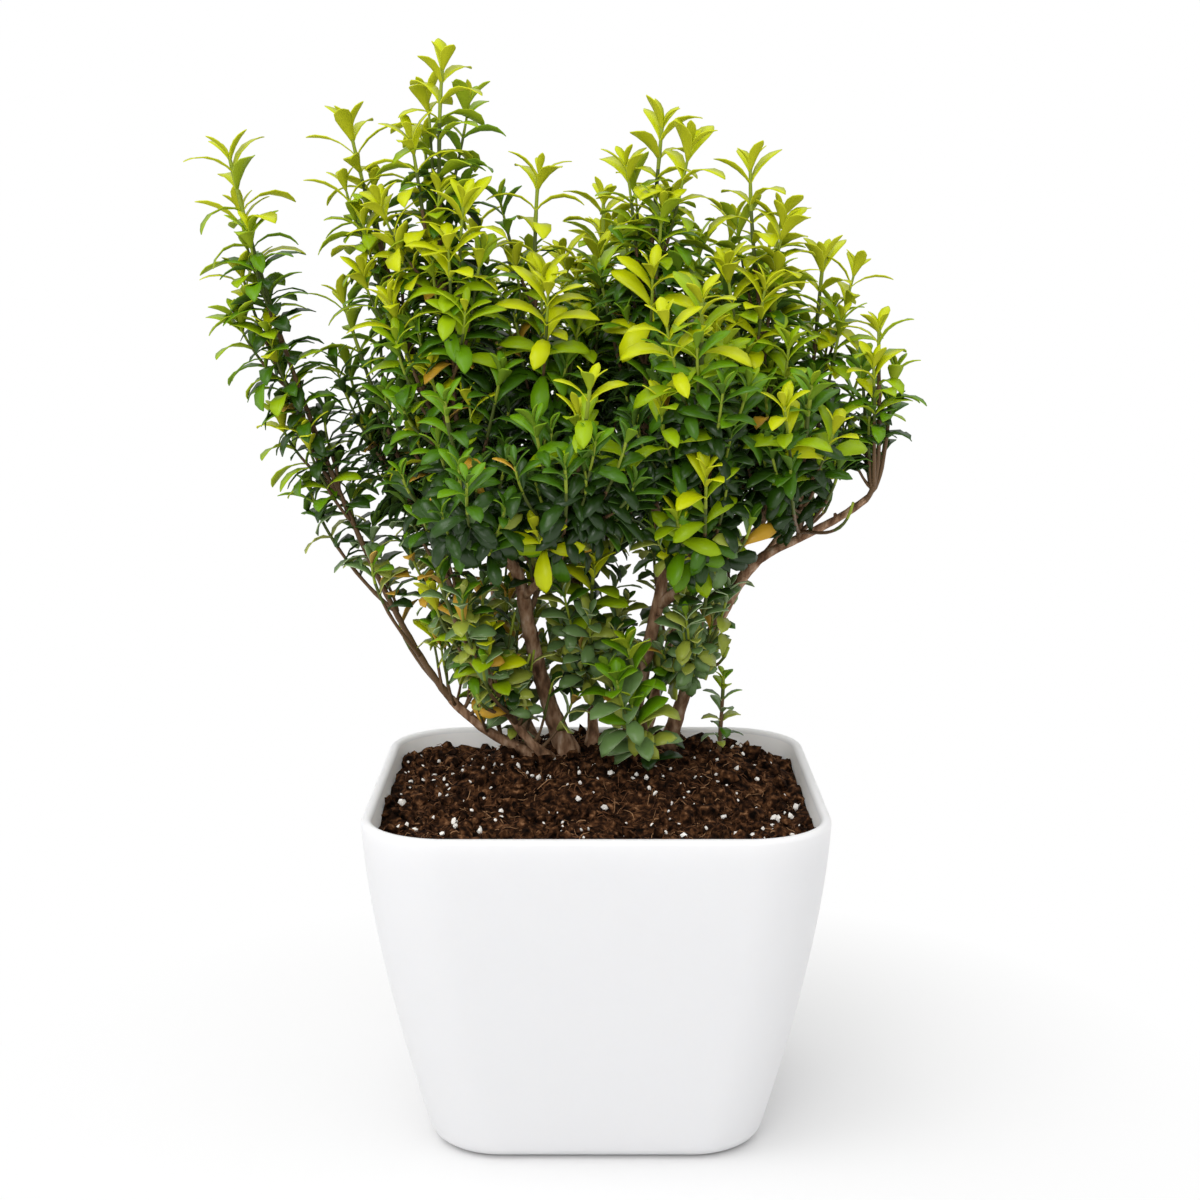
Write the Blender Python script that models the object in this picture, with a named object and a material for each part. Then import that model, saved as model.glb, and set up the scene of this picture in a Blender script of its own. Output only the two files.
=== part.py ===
"""Potted euonymus: a small-leaved evergreen shrub, 0.58 m tall with its pot, of many upright leafy shoots.

Metres, +Z up. The origin is the middle of the pot's flat underside, and -Y is the front.
Bare wood stands as separate tapering limbs. Past each limb's tip one mass of foliage grows: a leader,
side shoots that leave it by a seeded rule, and leaves in opposite pairs, all fused to one body.
"""

import itertools
import math
import random

import bmesh
import bpy
import numpy as np
from mathutils import Vector
from mathutils.bvhtree import BVHTree

UP = Vector((0.0, 0.0, 1.0))
GAP = 0.0003  # between bodies that touch

# Pot: a square with round corners that narrows to its foot in a slight bulge.
POT_HEIGHT = 0.182
RIM_HALF = 0.120
FOOT_HALF = 0.0865
SIDE_BULGE = 1.45  # exponent of the taper: 1 is a straight side
RIM_CORNER = 0.0455
FOOT_CORNER = 0.0370
FOOT_EDGE = 0.008  # radius between side and underside
WALL = 0.0055
FLOOR = 0.006
SIDE_RINGS = 5
CORNER_POINTS = 6

# Soil: level near the wall, heaped to a flat top where the stems stand.
SOIL_EDGE_Z = 0.171
SOIL_TOP_Z = 0.184
HEAP_CENTRE = (0.014, 0.042)
HEAP_TOP_REACH = (0.066, 0.043)  # half axes of the flat top
HEAP_FOOT_REACH = (0.104, 0.100)  # half axes where the heap meets the level
SOIL_RINGS = 6
SOIL_SIDE_POINTS = 2
SOIL_BUMP = 0.0012

# Wood: limbs are round tapering tubes.
LIMB_SIDES = 6
LIMB_STATIONS = 6
ROOT_FLARE = 0.75  # extra radius at a foot, as a share of the radius there
FLARE_REACH = 0.09  # share of a stem's length over which the flare fades
LEAST_LEAN = math.radians(38)  # between a limb and a branch that leaves its side
SEATING_STEPS = 8

# Foliage.
TWIG_SIDES = 3
LEADER_RADIUS = (0.0019, 0.0012)  # at the start and at the tip
SHOOT_RADIUS = (0.0016, 0.0011)
START_PULL = 0.16  # how far a curve keeps its first direction, as a share of its span
END_PULL = 0.36  # the same for its last direction
LEADER_STATIONS = 6
SHOOT_STATIONS = 3
LEAF_LENGTH = 0.044
LEAF_WIDTH = 0.0195
LEAF_THICKNESS = 0.0017
LEAF_WIDEST = 0.52  # where the blade is widest, as a share of its length
LEAF_ARCH = 0.10  # rise of the midrib over a straight blade, as a share of its length
LEADER_SPACING = 0.026  # between the pairs of leaves on a leader
SHOOT_SPACING = 0.020  # the same on a side shoot
LEADER_BARE = 0.08  # part of a leader, from its root, without leaves
SHOOT_BARE = 0.25
TIP_ANGLE = math.radians(26)  # between blade and shoot at the shoot's tip
BASE_ANGLE = math.radians(74)  # the same at its root
SHOOT_LOWEST = 0.22  # share of the leader's height at which the lowest side shoots end
SHOOT_RISE = 0.050  # least height of a side shoot's tip over its root
CANDIDATES = 14  # places tried for each side shoot, of which the emptiest is taken
SPACE_CLEARANCE = 0.0012  # kept from the border of a neighbour's space
LIMB_CLEARANCE = 0.0008
SOIL_CLEARANCE = 0.002  # kept above the soil's top
RIM_CLEARANCE = 0.006  # kept above the rim wherever foliage comes near the pot's wall
RIM_INSIDE = 0.098  # half width of the part of the pot's mouth where foliage may stay lower than that
TIP_LEAF_SIZE = 0.86
PAIR_STAGGER = 0.0016  # one leaf of a pair stands this much lower than the other
SUNK_SHARE = 0.40  # how far past a twig's axis a leaf starts, as a share of the twig's radius
MOST_SUNK = 0.0020
LEAST_AREA = 1e-10  # of a triangle, in square metres, twice over
LEAVES_SPARED = 4  # most leaves left out of a mass for the sake of a clean seam
TURNS_TRIED = (0.0, 0.4, -0.4, 0.8, -0.8, 1.2, -1.2)  # turns tried for a leaf before it is skipped

# Stems: name, foot (x, y), tip, bow (how far the middle swings from a straight line), radii at foot and tip.
STEMS = (
    ("outer_left_stem", (-0.036, 0.046), (-0.082, 0.044, 0.216), (-0.002, 0, -0.003), 0.0030, 0.0024),
    ("left_stem", (-0.026, 0.032), (-0.057, 0.026, 0.228), (-0.002, 0, -0.003), 0.0027, 0.0020),
    ("main_trunk", (-0.017, 0.050), (-0.041, 0.028, 0.283), (-0.003, 0, 0.0), 0.0049, 0.0036),
    ("centre_stem", (-0.002, 0.066), (-0.009, 0.080, 0.272), (0.002, 0, 0.0), 0.0027, 0.0019),
    ("right_stem", (0.017, 0.048), (0.036, 0.040, 0.279), (0.000, 0, 0.0), 0.0041, 0.0033),
    ("outer_right_stem", (0.041, 0.064), (0.083, 0.050, 0.286), (-0.003, 0, 0.002), 0.0037, 0.0030),
    ("back_left_stem", (-0.036, 0.068), (-0.062, 0.112, 0.284), (-0.004, 0.004, -0.004), 0.0031, 0.0022),
    ("back_right_stem", (0.026, 0.076), (0.055, 0.122, 0.286), (0.002, 0.006, -0.004), 0.0033, 0.0023),
)

# Boughs: name, stem, share of the stem where it leaves (1 goes on from the tip), tip, bow, radii.
BOUGHS = (
    ("main_left_bough", "main_trunk", 1.0, (-0.069, -0.004, 0.330), (-0.006, 0, -0.006), 0.0032, 0.0023),
    ("main_right_bough", "main_trunk", 0.93, (-0.018, -0.012, 0.310), (0.002, 0, -0.006), 0.0023, 0.0018),
    ("right_upright_bough", "right_stem", 1.0, (0.030, 0.030, 0.336), (0.002, 0, 0.0), 0.0030, 0.0022),
    ("right_long_bough", "right_stem", 0.90, (0.088, 0.014, 0.318), (-0.002, 0, -0.006), 0.0029, 0.0020),
    ("outer_right_bough", "outer_right_stem", 1.0, (0.147, 0.024, 0.332), (-0.004, 0, -0.006), 0.0028, 0.0019),
    ("right_inner_bough", "outer_right_stem", 0.92, (0.112, 0.066, 0.322), (0.002, 0, -0.004), 0.0021, 0.0016),
)

# Masses: name, limb, share of the limb where the leader starts, top of the leader, direction at the top,
# reach of the side shoots, how many there are, size of the leaves, seed.
MASSES = (
    ("left_arching_foliage", "outer_left_stem", 1.0, (-0.192, 0.020, 0.506), (-0.2, 0, 1), 0.020, 5, 0.80, 95),
    ("left_inner_foliage", "left_stem", 1.0, (-0.136, 0.046, 0.430), (-0.3, 0.1, 1), 0.034, 6, 0.95, 95),
    ("left_low_foliage", "left_stem", 0.55, (-0.082, -0.022, 0.292), (-0.2, -0.1, 1), 0.024, 3, 0.80, 31),
    ("left_front_foliage", "main_left_bough", 0.74, (-0.074, -0.072, 0.384), (-0.1, -0.1, 1), 0.044, 5, 1.0, 32),
    ("left_upper_foliage", "main_left_bough", 0.88, (-0.130, 0.036, 0.522), (-0.2, 0, 1), 0.030, 4, 0.90, 7),
    ("left_tall_foliage", "main_left_bough", 1.0, (-0.080, 0.000, 0.550), (0.1, 0, 1), 0.040, 6, 0.95, 48),
    ("centre_left_foliage", "main_trunk", 0.82, (-0.031, 0.006, 0.496), (0.1, 0, 1), 0.042, 5, 1.0, 70),
    ("centre_front_foliage", "main_right_bough", 1.0, (-0.004, -0.082, 0.392), (0.1, -0.1, 1), 0.044, 5, 1.0, 6),
    ("centre_low_foliage", "centre_stem", 0.45, (-0.002, 0.020, 0.288), (0.1, -0.1, 1), 0.026, 3, 0.80, 53),
    ("centre_foliage", "centre_stem", 1.0, (0.004, 0.080, 0.484), (0, 0.1, 1), 0.042, 6, 1.0, 36),
    ("centre_right_foliage", "right_upright_bough", 1.0, (0.034, 0.024, 0.522), (0.1, 0, 1), 0.042, 5, 1.0, 21),
    ("right_front_foliage", "right_long_bough", 0.45, (0.052, -0.066, 0.434), (0, -0.1, 1), 0.044, 5, 1.0, 18),
    ("right_tall_foliage", "right_long_bough", 1.0, (0.082, 0.028, 0.500), (0, 0, 1), 0.042, 5, 1.0, 12),
    ("right_outer_foliage", "right_inner_bough", 1.0, (0.124, 0.056, 0.452), (0.1, 0, 1), 0.036, 4, 0.95, 13),
    ("far_right_foliage", "outer_right_bough", 1.0, (0.150, 0.010, 0.416), (0, 0, 1), 0.024, 3, 0.85, 14),
    ("right_low_foliage", "outer_right_bough", 0.55, (0.108, -0.046, 0.390), (0.1, -0.1, 1), 0.040, 4, 0.95, 15),
    ("right_basal_foliage", "outer_right_stem", 0.35, (0.060, 0.010, 0.282), (0.1, -0.1, 1), 0.022, 2, 0.80, 34),
    ("back_left_foliage", "back_left_stem", 1.0, (-0.070, 0.128, 0.470), (-0.1, 0.1, 1), 0.050, 6, 1.0, 16),
    ("back_centre_foliage", "back_right_stem", 0.91, (0.004, 0.156, 0.464), (0, 0.1, 1), 0.044, 5, 1.0, 17),
    ("back_right_foliage", "back_right_stem", 1.0, (0.078, 0.126, 0.472), (0.1, 0.1, 1), 0.048, 6, 1.0, 18),
)

# Young shoots that rise from the soil by themselves: name, foot (x, y), top, direction, reach, count, size, seed.
SOIL_SHOOTS = (
    ("front_shoot_foliage", (0.031, 0.010), (0.020, -0.008, 0.242), (-0.2, 0, 1), 0.024, 2, 0.75, 21),
    ("small_sprig_foliage", (0.070, 0.052), (0.072, 0.050, 0.212), (0, 0, 1), 0.010, 1, 0.45, 22),
)


# ---------------------------------------------------------------- plain geometry


def clear_scene():
    for thing in list(bpy.data.objects):
        bpy.data.objects.remove(thing, do_unlink=True)


def material(name, colour, roughness, metallic=0.0):
    made = bpy.data.materials.new(name)
    made.use_nodes = True
    shader = made.node_tree.nodes["Principled BSDF"]
    shader.inputs["Base Color"].default_value = (*colour, 1.0)
    shader.inputs["Roughness"].default_value = roughness
    shader.inputs["Metallic"].default_value = metallic
    return made


def add_object(name, points, faces, finish):
    mesh = bpy.data.meshes.new(name)
    mesh.from_pydata([tuple(point) for point in points], [], faces)
    mesh.materials.append(finish)
    made = bpy.data.objects.new(name, mesh)
    bpy.context.scene.collection.objects.link(made)
    return made


def face_outwards(thing):
    """Turns every face of a closed mesh outwards."""
    shape = bmesh.new()
    shape.from_mesh(thing.data)
    bmesh.ops.recalc_face_normals(shape, faces=shape.faces)
    shape.to_mesh(thing.data)
    shape.free()


def ring_faces(rings, count, first_cap=True, last_cap=True):
    """Faces of a tube of rings with count points each, and of its flat ends."""
    faces = []
    for ring in range(rings - 1):
        for k in range(count):
            a = ring * count + k
            b = ring * count + (k + 1) % count
            faces.append((a, b, b + count, a + count))
    if first_cap:
        faces.append(tuple(reversed(range(count))))
    if last_cap:
        faces.append(tuple(range((rings - 1) * count, rings * count)))
    return faces


def rounded_square(half, corner, z, side_points=0):
    """Points of a square with round corners, one corner after the other, and some on each side between."""
    points = []
    for quarter in range(4):
        for step in range(CORNER_POINTS):
            angle = math.pi / 2 * (quarter + step / (CORNER_POINTS - 1))
            mid = math.pi / 2 * (quarter + 0.5)
            centre = Vector((math.cos(mid), math.sin(mid), 0.0)) * (half - corner) * math.sqrt(2.0)
            points.append(centre + Vector((math.cos(angle) * corner, math.sin(angle) * corner, z)))
        end = points[-1]
        along = Vector((-math.sin(angle), math.cos(angle), 0.0)) * 2.0 * (half - corner)
        points += [end + along * (step + 1) / (side_points + 1) for step in range(side_points)]
    return points


# ---------------------------------------------------------------- pot and soil


def side_half(z):
    """Half width of the pot's outer side at a height."""
    share = min(max(z / POT_HEIGHT, 0.0), 1.0)
    return FOOT_HALF + (RIM_HALF - FOOT_HALF) * (1.0 - (1.0 - share) ** SIDE_BULGE)


def side_corner(z):
    """Corner radius of the pot's outer side at a height."""
    return FOOT_CORNER + (RIM_CORNER - FOOT_CORNER) * z / POT_HEIGHT


def pot_ring(z, inset, side_points=0):
    return rounded_square(side_half(z) - inset, side_corner(z) - inset, z, side_points)


def inner_levels():
    """Heights of the rings of the pot's inner side, from the soil's edge down to the floor."""
    top = SOIL_EDGE_Z - SOIL_BUMP
    return [top + (FLOOR - top) * step / (SIDE_RINGS - 1) for step in range(SIDE_RINGS)]


def build_pot(finish):
    rings = []
    for step in range(4):
        angle = math.pi / 2 * step / 3
        rings.append(pot_ring(FOOT_EDGE * (1 - math.cos(angle)), FOOT_EDGE * (1 - math.sin(angle))))
    lip = WALL / 2
    for step in range(1, SIDE_RINGS + 1):
        z = FOOT_EDGE + (POT_HEIGHT - lip - FOOT_EDGE) * step / SIDE_RINGS
        rings.append(pot_ring(z, 0.0))
    for step in range(1, 5):
        angle = math.pi * step / 4
        z = POT_HEIGHT - lip + lip * math.sin(angle)
        rings.append(rounded_square(side_half(POT_HEIGHT) - lip + lip * math.cos(angle),
                                    RIM_CORNER - lip + lip * math.cos(angle), z))
    for z in inner_levels():
        rings.append(pot_ring(z, WALL))
    points = [point for ring in rings for point in ring]
    pot = add_object("pot", points, ring_faces(len(rings), 4 * CORNER_POINTS), finish)
    face_outwards(pot)
    return pot


def heap_share(x, y):
    """1 on the heap's flat top, 0 outside the heap, a smooth slope between."""
    dx = x - HEAP_CENTRE[0]
    dy = y - HEAP_CENTRE[1]
    inner = math.hypot(dx / HEAP_TOP_REACH[0], dy / HEAP_TOP_REACH[1])
    outer = math.hypot(dx / HEAP_FOOT_REACH[0], dy / HEAP_FOOT_REACH[1])
    if inner <= 1.0:
        return 1.0
    if outer >= 1.0:
        return 0.0
    share = (1.0 - outer) / (1.0 - outer / inner)
    return share * share * (3.0 - 2.0 * share)


def soil_height(x, y):
    share = heap_share(x, y)
    bump = math.sin(x * 410.0 + 1.3) * math.cos(y * 370.0 - 0.7) * SOIL_BUMP * (1.0 - share)
    return SOIL_EDGE_Z + (SOIL_TOP_Z - SOIL_EDGE_Z) * share + bump


def build_soil(finish):
    """Fills the pot from its floor; the top surface is drawn in towards the heap, ring by ring."""
    rings = []
    for z in reversed(inner_levels()):
        rings.append(pot_ring(max(z, FLOOR + GAP), WALL + GAP * 1.5, SOIL_SIDE_POINTS))
    rim = rings[-1]
    centre = Vector((*HEAP_CENTRE, 0.0))
    for step in range(SOIL_RINGS):
        share = step / SOIL_RINGS
        ring = []
        for point in rim:
            x, y, _ = point.lerp(centre, share)
            ring.append(Vector((x, y, soil_height(x, y))))
        if step:
            rings.append(ring)
    points = [point for ring in rings for point in ring]
    soil = add_object("soil", points, ring_faces(len(rings), len(rim)), finish)
    face_outwards(soil)
    return soil


# ---------------------------------------------------------------- curves


def curve_point(curve, t):
    a, b, c, d = curve
    s = 1.0 - t
    return a * s**3 + b * 3 * s * s * t + c * 3 * s * t * t + d * t**3


def curve_tangent(curve, t):
    a, b, c, d = curve
    s = 1.0 - t
    return ((b - a) * s * s + (c - b) * 2 * s * t + (d - c) * t * t).normalized()


def curve_length(curve, steps=16):
    points = [curve_point(curve, k / steps) for k in range(steps + 1)]
    return sum((q - p).length for p, q in zip(points, points[1:]))


def bowed(start, end, bow):
    """A curve from start to end whose middle lies off the straight line by bow."""
    swing = Vector(bow) * (4.0 / 3.0)
    return (start, start.lerp(end, 1 / 3) + swing, start.lerp(end, 2 / 3) + swing, end)


def rising(start, direction, end, end_direction):
    """A curve that leaves start in one direction and comes up to end in the other."""
    reach = (end - start).length
    return (start, start + direction.normalized() * (reach * START_PULL),
            end - end_direction.normalized() * (reach * END_PULL), end)


def across(direction):
    """Two unit vectors square to a direction."""
    helper = UP if abs(direction.z) < 0.9 else Vector((1.0, 0.0, 0.0))
    side = direction.cross(helper).normalized()
    return side, side.cross(direction).normalized()


def ring_round(centre, tangent, side, radius, sides):
    """Corners of a flat polygon square to a tangent, the first of them towards side."""
    other = tangent.cross(side)
    turns = [math.tau * step / sides for step in range(sides)]
    return [centre + (side * math.cos(turn) + other * math.sin(turn)) * radius for turn in turns]


def tube_points(curve, radii, sides, level_foot=False):
    """Rings of points round a curve; radii holds one radius for each ring."""
    rings = []
    last = len(radii) - 1
    side = None
    for k, radius in enumerate(radii):
        tangent = curve_tangent(curve, k / last)
        if level_foot and k == 0:
            tangent = UP
        if side is None:
            side, _ = across(tangent)
        side = (side - tangent * side.dot(tangent)).normalized()
        rings += ring_round(curve_point(curve, k / last), tangent, side, radius, sides)
    return rings


# ---------------------------------------------------------------- wood


def limb_radius(limb, t):
    base, tip = limb["radii"]
    radius = base + (tip - base) * t
    if limb["foot"]:
        radius += base * ROOT_FLARE * math.exp(-t / FLARE_REACH)
    return radius


def limb_points(limb):
    radii = [limb_radius(limb, k / (LIMB_STATIONS - 1)) for k in range(LIMB_STATIONS)]
    return tube_points(limb["curve"], radii, LIMB_SIDES, level_foot=limb["foot"])


def side_start(limb, share, towards, own_radius, own_sides):
    """Where a branch of own_radius starts, 0.3 mm clear of a limb's side, and its first direction."""
    root = curve_point(limb["curve"], share)
    tangent = curve_tangent(limb["curve"], share)
    aim = (towards - root).normalized()
    lean = math.acos(max(-1.0, min(1.0, aim.dot(tangent))))
    lean = max(lean, LEAST_LEAN)
    outward = (aim - tangent * aim.dot(tangent)).normalized()
    aim = outward * math.sin(lean) + tangent * math.cos(lean)
    reach = (limb_radius(limb, share) + GAP + own_radius * math.cos(lean)) / math.sin(lean)
    surface = BVHTree.FromPolygons(limb_points(limb), ring_faces(LIMB_STATIONS, LIMB_SIDES))
    for _ in range(SEATING_STEPS):
        corners = ring_round(root + aim * reach, aim, across(aim)[0], own_radius, own_sides)
        middles = [(a + b) / 2 for a, b in zip(corners, corners[1:] + corners[:1])]
        reach -= min(surface.find_nearest(point)[3] for point in corners + middles) - GAP
    return root + aim * reach, aim


def tip_start(limb):
    tangent = curve_tangent(limb["curve"], 1.0)
    return curve_point(limb["curve"], 1.0) + tangent * GAP, tangent


def plan_limbs():
    limbs = {}
    for name, foot, tip, bow, base, end in STEMS:
        start = Vector((*foot, SOIL_TOP_Z + GAP))
        limbs[name] = {"curve": bowed(start, Vector(tip), bow), "radii": (base, end), "foot": True}
    for name, stem, share, tip, bow, base, end in BOUGHS:
        host = limbs[stem]
        if share < 1.0:
            start, aim = side_start(host, share, Vector(tip), base, LIMB_SIDES)
        else:
            start, aim = tip_start(host)
        curve = bowed(start, Vector(tip), bow)
        reach = (curve[1] - start).length
        curve = (start, start + aim * reach, curve[2], curve[3])
        limbs[name] = {"curve": curve, "radii": (base, end), "foot": False}
    return limbs


def build_limb(name, limb, finish):
    made = add_object(name, limb_points(limb), ring_faces(LIMB_STATIONS, LIMB_SIDES), finish)
    face_outwards(made)
    return made


# ---------------------------------------------------------------- foliage


def plan_masses(limbs):
    masses = []
    for name, limb, share, top, direction, reach, count, size, seed in MASSES:
        host = limbs[limb]
        if share < 1.0:
            start, aim = side_start(host, share, Vector(top), LEADER_RADIUS[0], TWIG_SIDES)
        else:
            start, aim = tip_start(host)
        curve = rising(start, aim, Vector(top), Vector(direction))
        masses.append(dict(name=name, curve=curve, reach=reach, count=count, size=size, seed=seed, soil=False))
    for name, foot, top, direction, reach, count, size, seed in SOIL_SHOOTS:
        start = Vector((*foot, SOIL_TOP_Z + GAP))
        curve = rising(start, UP, Vector(top), Vector(direction))
        masses.append(dict(name=name, curve=curve, reach=reach, count=count, size=size, seed=seed, soil=True))
    return masses


def side_shoot(leader, length, level, turn, reach):
    """A shoot that leaves the leader low down and turns up to a tip beside it, at a level of its height."""
    out = Vector((math.cos(turn), math.sin(turn), 0.0))
    tip = curve_point(leader, level) + out * reach
    root_share = max(0.03, level - (SHOOT_RISE + 0.9 * reach) / length)
    aim = curve_tangent(leader, root_share) * 0.8 + out * 0.9
    return rising(curve_point(leader, root_share), aim, tip, UP + out * 0.25)


def plan_shoots(masses, spaces):
    """Side shoots of all masses, one for each in turn; each takes the emptiest of some seeded places."""
    dice = [random.Random(mass["seed"]) for mass in masses]
    tips = [np.array(mass["curve"][3]) for mass in masses]
    grown = [[] for _ in masses]
    for order in range(max(mass["count"] for mass in masses)):
        for which, mass in enumerate(masses):
            if order >= mass["count"]:
                continue
            length = curve_length(mass["curve"])
            best = None
            for _ in range(CANDIDATES):
                level = dice[which].uniform(SHOOT_LOWEST, 0.95)
                turn = dice[which].uniform(0.0, math.tau)
                reach = mass["reach"] * dice[which].uniform(0.55, 1.0) * min(1.0, 1.5 - level)
                shoot = side_shoot(mass["curve"], length, level, turn, reach)
                tip = np.array(shoot[3])
                room = min(np.linalg.norm(tip - other) for other in tips)
                if (best is None or room > best[0]) and spaces.holds(which, sample_curve(shoot, 15)):
                    best = (room, shoot, tip)
            if best:
                grown[which].append(best[1])
                tips.append(best[2])
    return grown


def leaf_points(root, along, normal, size, sunk):
    """Six corners of a blade of eight faces that starts sunk below its root."""
    length = LEAF_LENGTH * size
    side = along.cross(normal).normalized()
    middle = root + along * (length * LEAF_WIDEST) + normal * (length * LEAF_ARCH)
    half_thick = normal * (LEAF_THICKNESS * size / 2)
    half_wide = side * (LEAF_WIDTH * size / 2)
    start = root - along * sunk
    return [start, root + along * length, middle + half_wide, middle - half_wide,
            middle + half_thick, middle - half_thick]


LEAF_FACES = ((0, 2, 4), (0, 4, 3), (0, 3, 5), (0, 5, 2), (1, 4, 2), (1, 3, 4), (1, 5, 3), (1, 2, 5))


def leaf_places(curve, radii, bare, spacing, dice):
    """Where the leaves of one shoot go: opposite pairs, each turned a quarter from the last, up to its tip."""
    length = curve_length(curve)
    pairs = max(2, round(length * (1.0 - bare) / spacing))
    turn = dice.uniform(0.0, math.tau)
    for pair in range(pairs):
        turn += math.pi / 2 + dice.uniform(-0.25, 0.25)
        lift = BASE_ANGLE + (TIP_ANGLE - BASE_ANGLE) * (pair + 1) / pairs
        for half in range(2):
            share = bare + (1.0 - bare) * (pair + 0.6) / (pairs - 0.1) - half * PAIR_STAGGER / length
            share = min(share, 0.985)
            size = dice.uniform(0.88, 1.08) * (TIP_LEAF_SIZE if pair == pairs - 1 else 1.0)
            radius = radii[0] + (radii[1] - radii[0]) * share
            yield share, radius, turn + half * math.pi, lift + dice.uniform(-0.1, 0.1), size


def turned_leaf(curve, share, radius, turn, lift, size):
    """A blade at one place of a shoot, leaning off it by lift."""
    tangent = curve_tangent(curve, share)
    side, other = across(tangent)
    outward = side * math.cos(turn) + other * math.sin(turn)
    along = tangent * math.cos(lift) + outward * math.sin(lift)
    normal = tangent * math.sin(lift) - outward * math.cos(lift)
    sunk = min(SUNK_SHARE * radius / math.sin(lift), MOST_SUNK)
    return leaf_points(curve_point(curve, share), along, normal, size, sunk)


def sample_curve(curve, count):
    return np.array([curve_point(curve, k / (count - 1)) for k in range(count)])


class Spaces:
    """Keeps each mass to its own part of the crown, off the wood, the soil and the pot."""

    def __init__(self, masses, limbs):
        self.leaders = [sample_curve(mass["curve"], 33) for mass in masses]
        wood = []
        for limb in limbs.values():
            for k in range(81):
                wood.append((*curve_point(limb["curve"], k / 80), limb_radius(limb, k / 80)))
        self.wood = np.array(wood)

    def distance(self, which, points):
        gaps = points[:, None, :] - self.leaders[which][None, :, :]
        return np.sqrt((gaps**2).sum(axis=2)).min(axis=1)

    def holds(self, which, points):
        own = self.distance(which, points)
        for other in range(len(self.leaders)):
            if other != which and np.any(own > self.distance(other, points) - SPACE_CLEARANCE):
                return False
        gaps = points[:, None, :] - self.wood[None, :, :3]
        clear = np.sqrt((gaps**2).sum(axis=2)) - self.wood[None, :, 3]
        if clear.min() < LIMB_CLEARANCE:
            return False
        if points[:, 2].min() < SOIL_TOP_Z + SOIL_CLEARANCE:
            return False
        low = points[points[:, 2] < POT_HEIGHT + RIM_CLEARANCE]
        return not len(low) or np.abs(low[:, :2]).max() < RIM_INSIDE


def blade_samples(corners):
    """Points spread over a blade, close enough together to feel a limb between them."""
    start, tip, left, right, top, under = [np.array(corner) for corner in corners]
    samples = []
    for share in np.linspace(0.15, 1.0, 7):
        samples += [start + (middle - start) * share for middle in (left, right, top, under)]
        samples += [tip + (middle - tip) * (1.0 - share) for middle in (left, right, top, under)]
    return np.array(samples)


def in_one_piece(thing):
    """Keeps the outer shell of the largest body of a mesh and drops scraps and inner shells."""
    shape = bmesh.new()
    shape.from_mesh(thing.data)
    left = set(shape.verts)
    groups = []
    while left:
        group = {left.pop()}
        frontier = list(group)
        while frontier:
            vert = frontier.pop()
            for edge in vert.link_edges:
                other = edge.other_vert(vert)
                if other not in group:
                    group.add(other)
                    left.discard(other)
                    frontier.append(other)
        groups.append(group)
    groups.sort(key=len)
    for group in groups[:-1]:
        bmesh.ops.delete(shape, geom=list(group), context="VERTS")
    shape.to_mesh(thing.data)
    shape.free()


def turned_diagonal(one, two, points, normal):
    """The two triangles of a quad split along its other diagonal, or None where that would fold it."""
    shared = set(one) & set(two)
    r = next(k for k in one if k not in shared)
    s = next(k for k in two if k not in shared)
    p = one[(one.index(r) + 1) % 3]
    q = one[(one.index(r) + 2) % 3]
    split = ((p, s, r), (s, q, r))
    for a, b, c in split:
        if (points[b] - points[a]).cross(points[c] - points[a]).dot(normal) < LEAST_AREA:
            return None
    return split


def split_faces(mesh):
    """Triangles that cover a mesh's faces, with no diagonal where there is an edge already."""
    mesh.calc_loop_triangles()
    points = [vert.co.copy() for vert in mesh.vertices]
    faces = [[] for _ in mesh.polygons]
    for triangle in mesh.loop_triangles:
        faces[triangle.polygon_index].append(tuple(triangle.vertices))
    taken = {frozenset(edge.vertices) for edge in mesh.edges}
    for polygon, triangles in zip(mesh.polygons, faces):
        border = {frozenset(key) for key in polygon.edge_keys}
        for one, two in itertools.combinations(range(len(triangles)), 2):
            shared = frozenset(set(triangles[one]) & set(triangles[two]))
            if len(shared) == 2 and shared in taken - border:
                split = turned_diagonal(triangles[one], triangles[two], points, polygon.normal)
                if split:
                    triangles[one], triangles[two] = split
        for corners in triangles:
            taken |= {frozenset(pair) for pair in itertools.combinations(corners, 2)}
    return points, [corners for triangles in faces for corners in triangles]


def fuse(name, pieces, finish):
    """One Boolean union of a collection of closed pieces."""
    group = bpy.data.collections.new(name + "_pieces")
    bpy.context.scene.collection.children.link(group)
    base = pieces[0]
    for piece in pieces[1:]:
        bpy.context.scene.collection.objects.unlink(piece)
        group.objects.link(piece)
    joining = base.modifiers.new("union", "BOOLEAN")
    joining.operation = "UNION"
    joining.operand_type = "COLLECTION"
    joining.collection = group
    joining.solver = "MANIFOLD"
    graph = bpy.context.evaluated_depsgraph_get()
    union = bpy.data.objects.new("union", bpy.data.meshes.new_from_object(base.evaluated_get(graph)))
    for piece in pieces:
        bpy.data.objects.remove(piece, do_unlink=True)
    bpy.data.collections.remove(group)
    in_one_piece(union)
    points, faces = split_faces(union.data)
    bpy.data.objects.remove(union, do_unlink=True)
    return add_object(name, points, faces, finish)


def twig_points(curve, radii, stations, from_soil):
    steps = [radii[0] + (radii[1] - radii[0]) * k / (stations - 1) for k in range(stations)]
    return tube_points(curve, steps, TWIG_SIDES, level_foot=from_soil)


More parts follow.
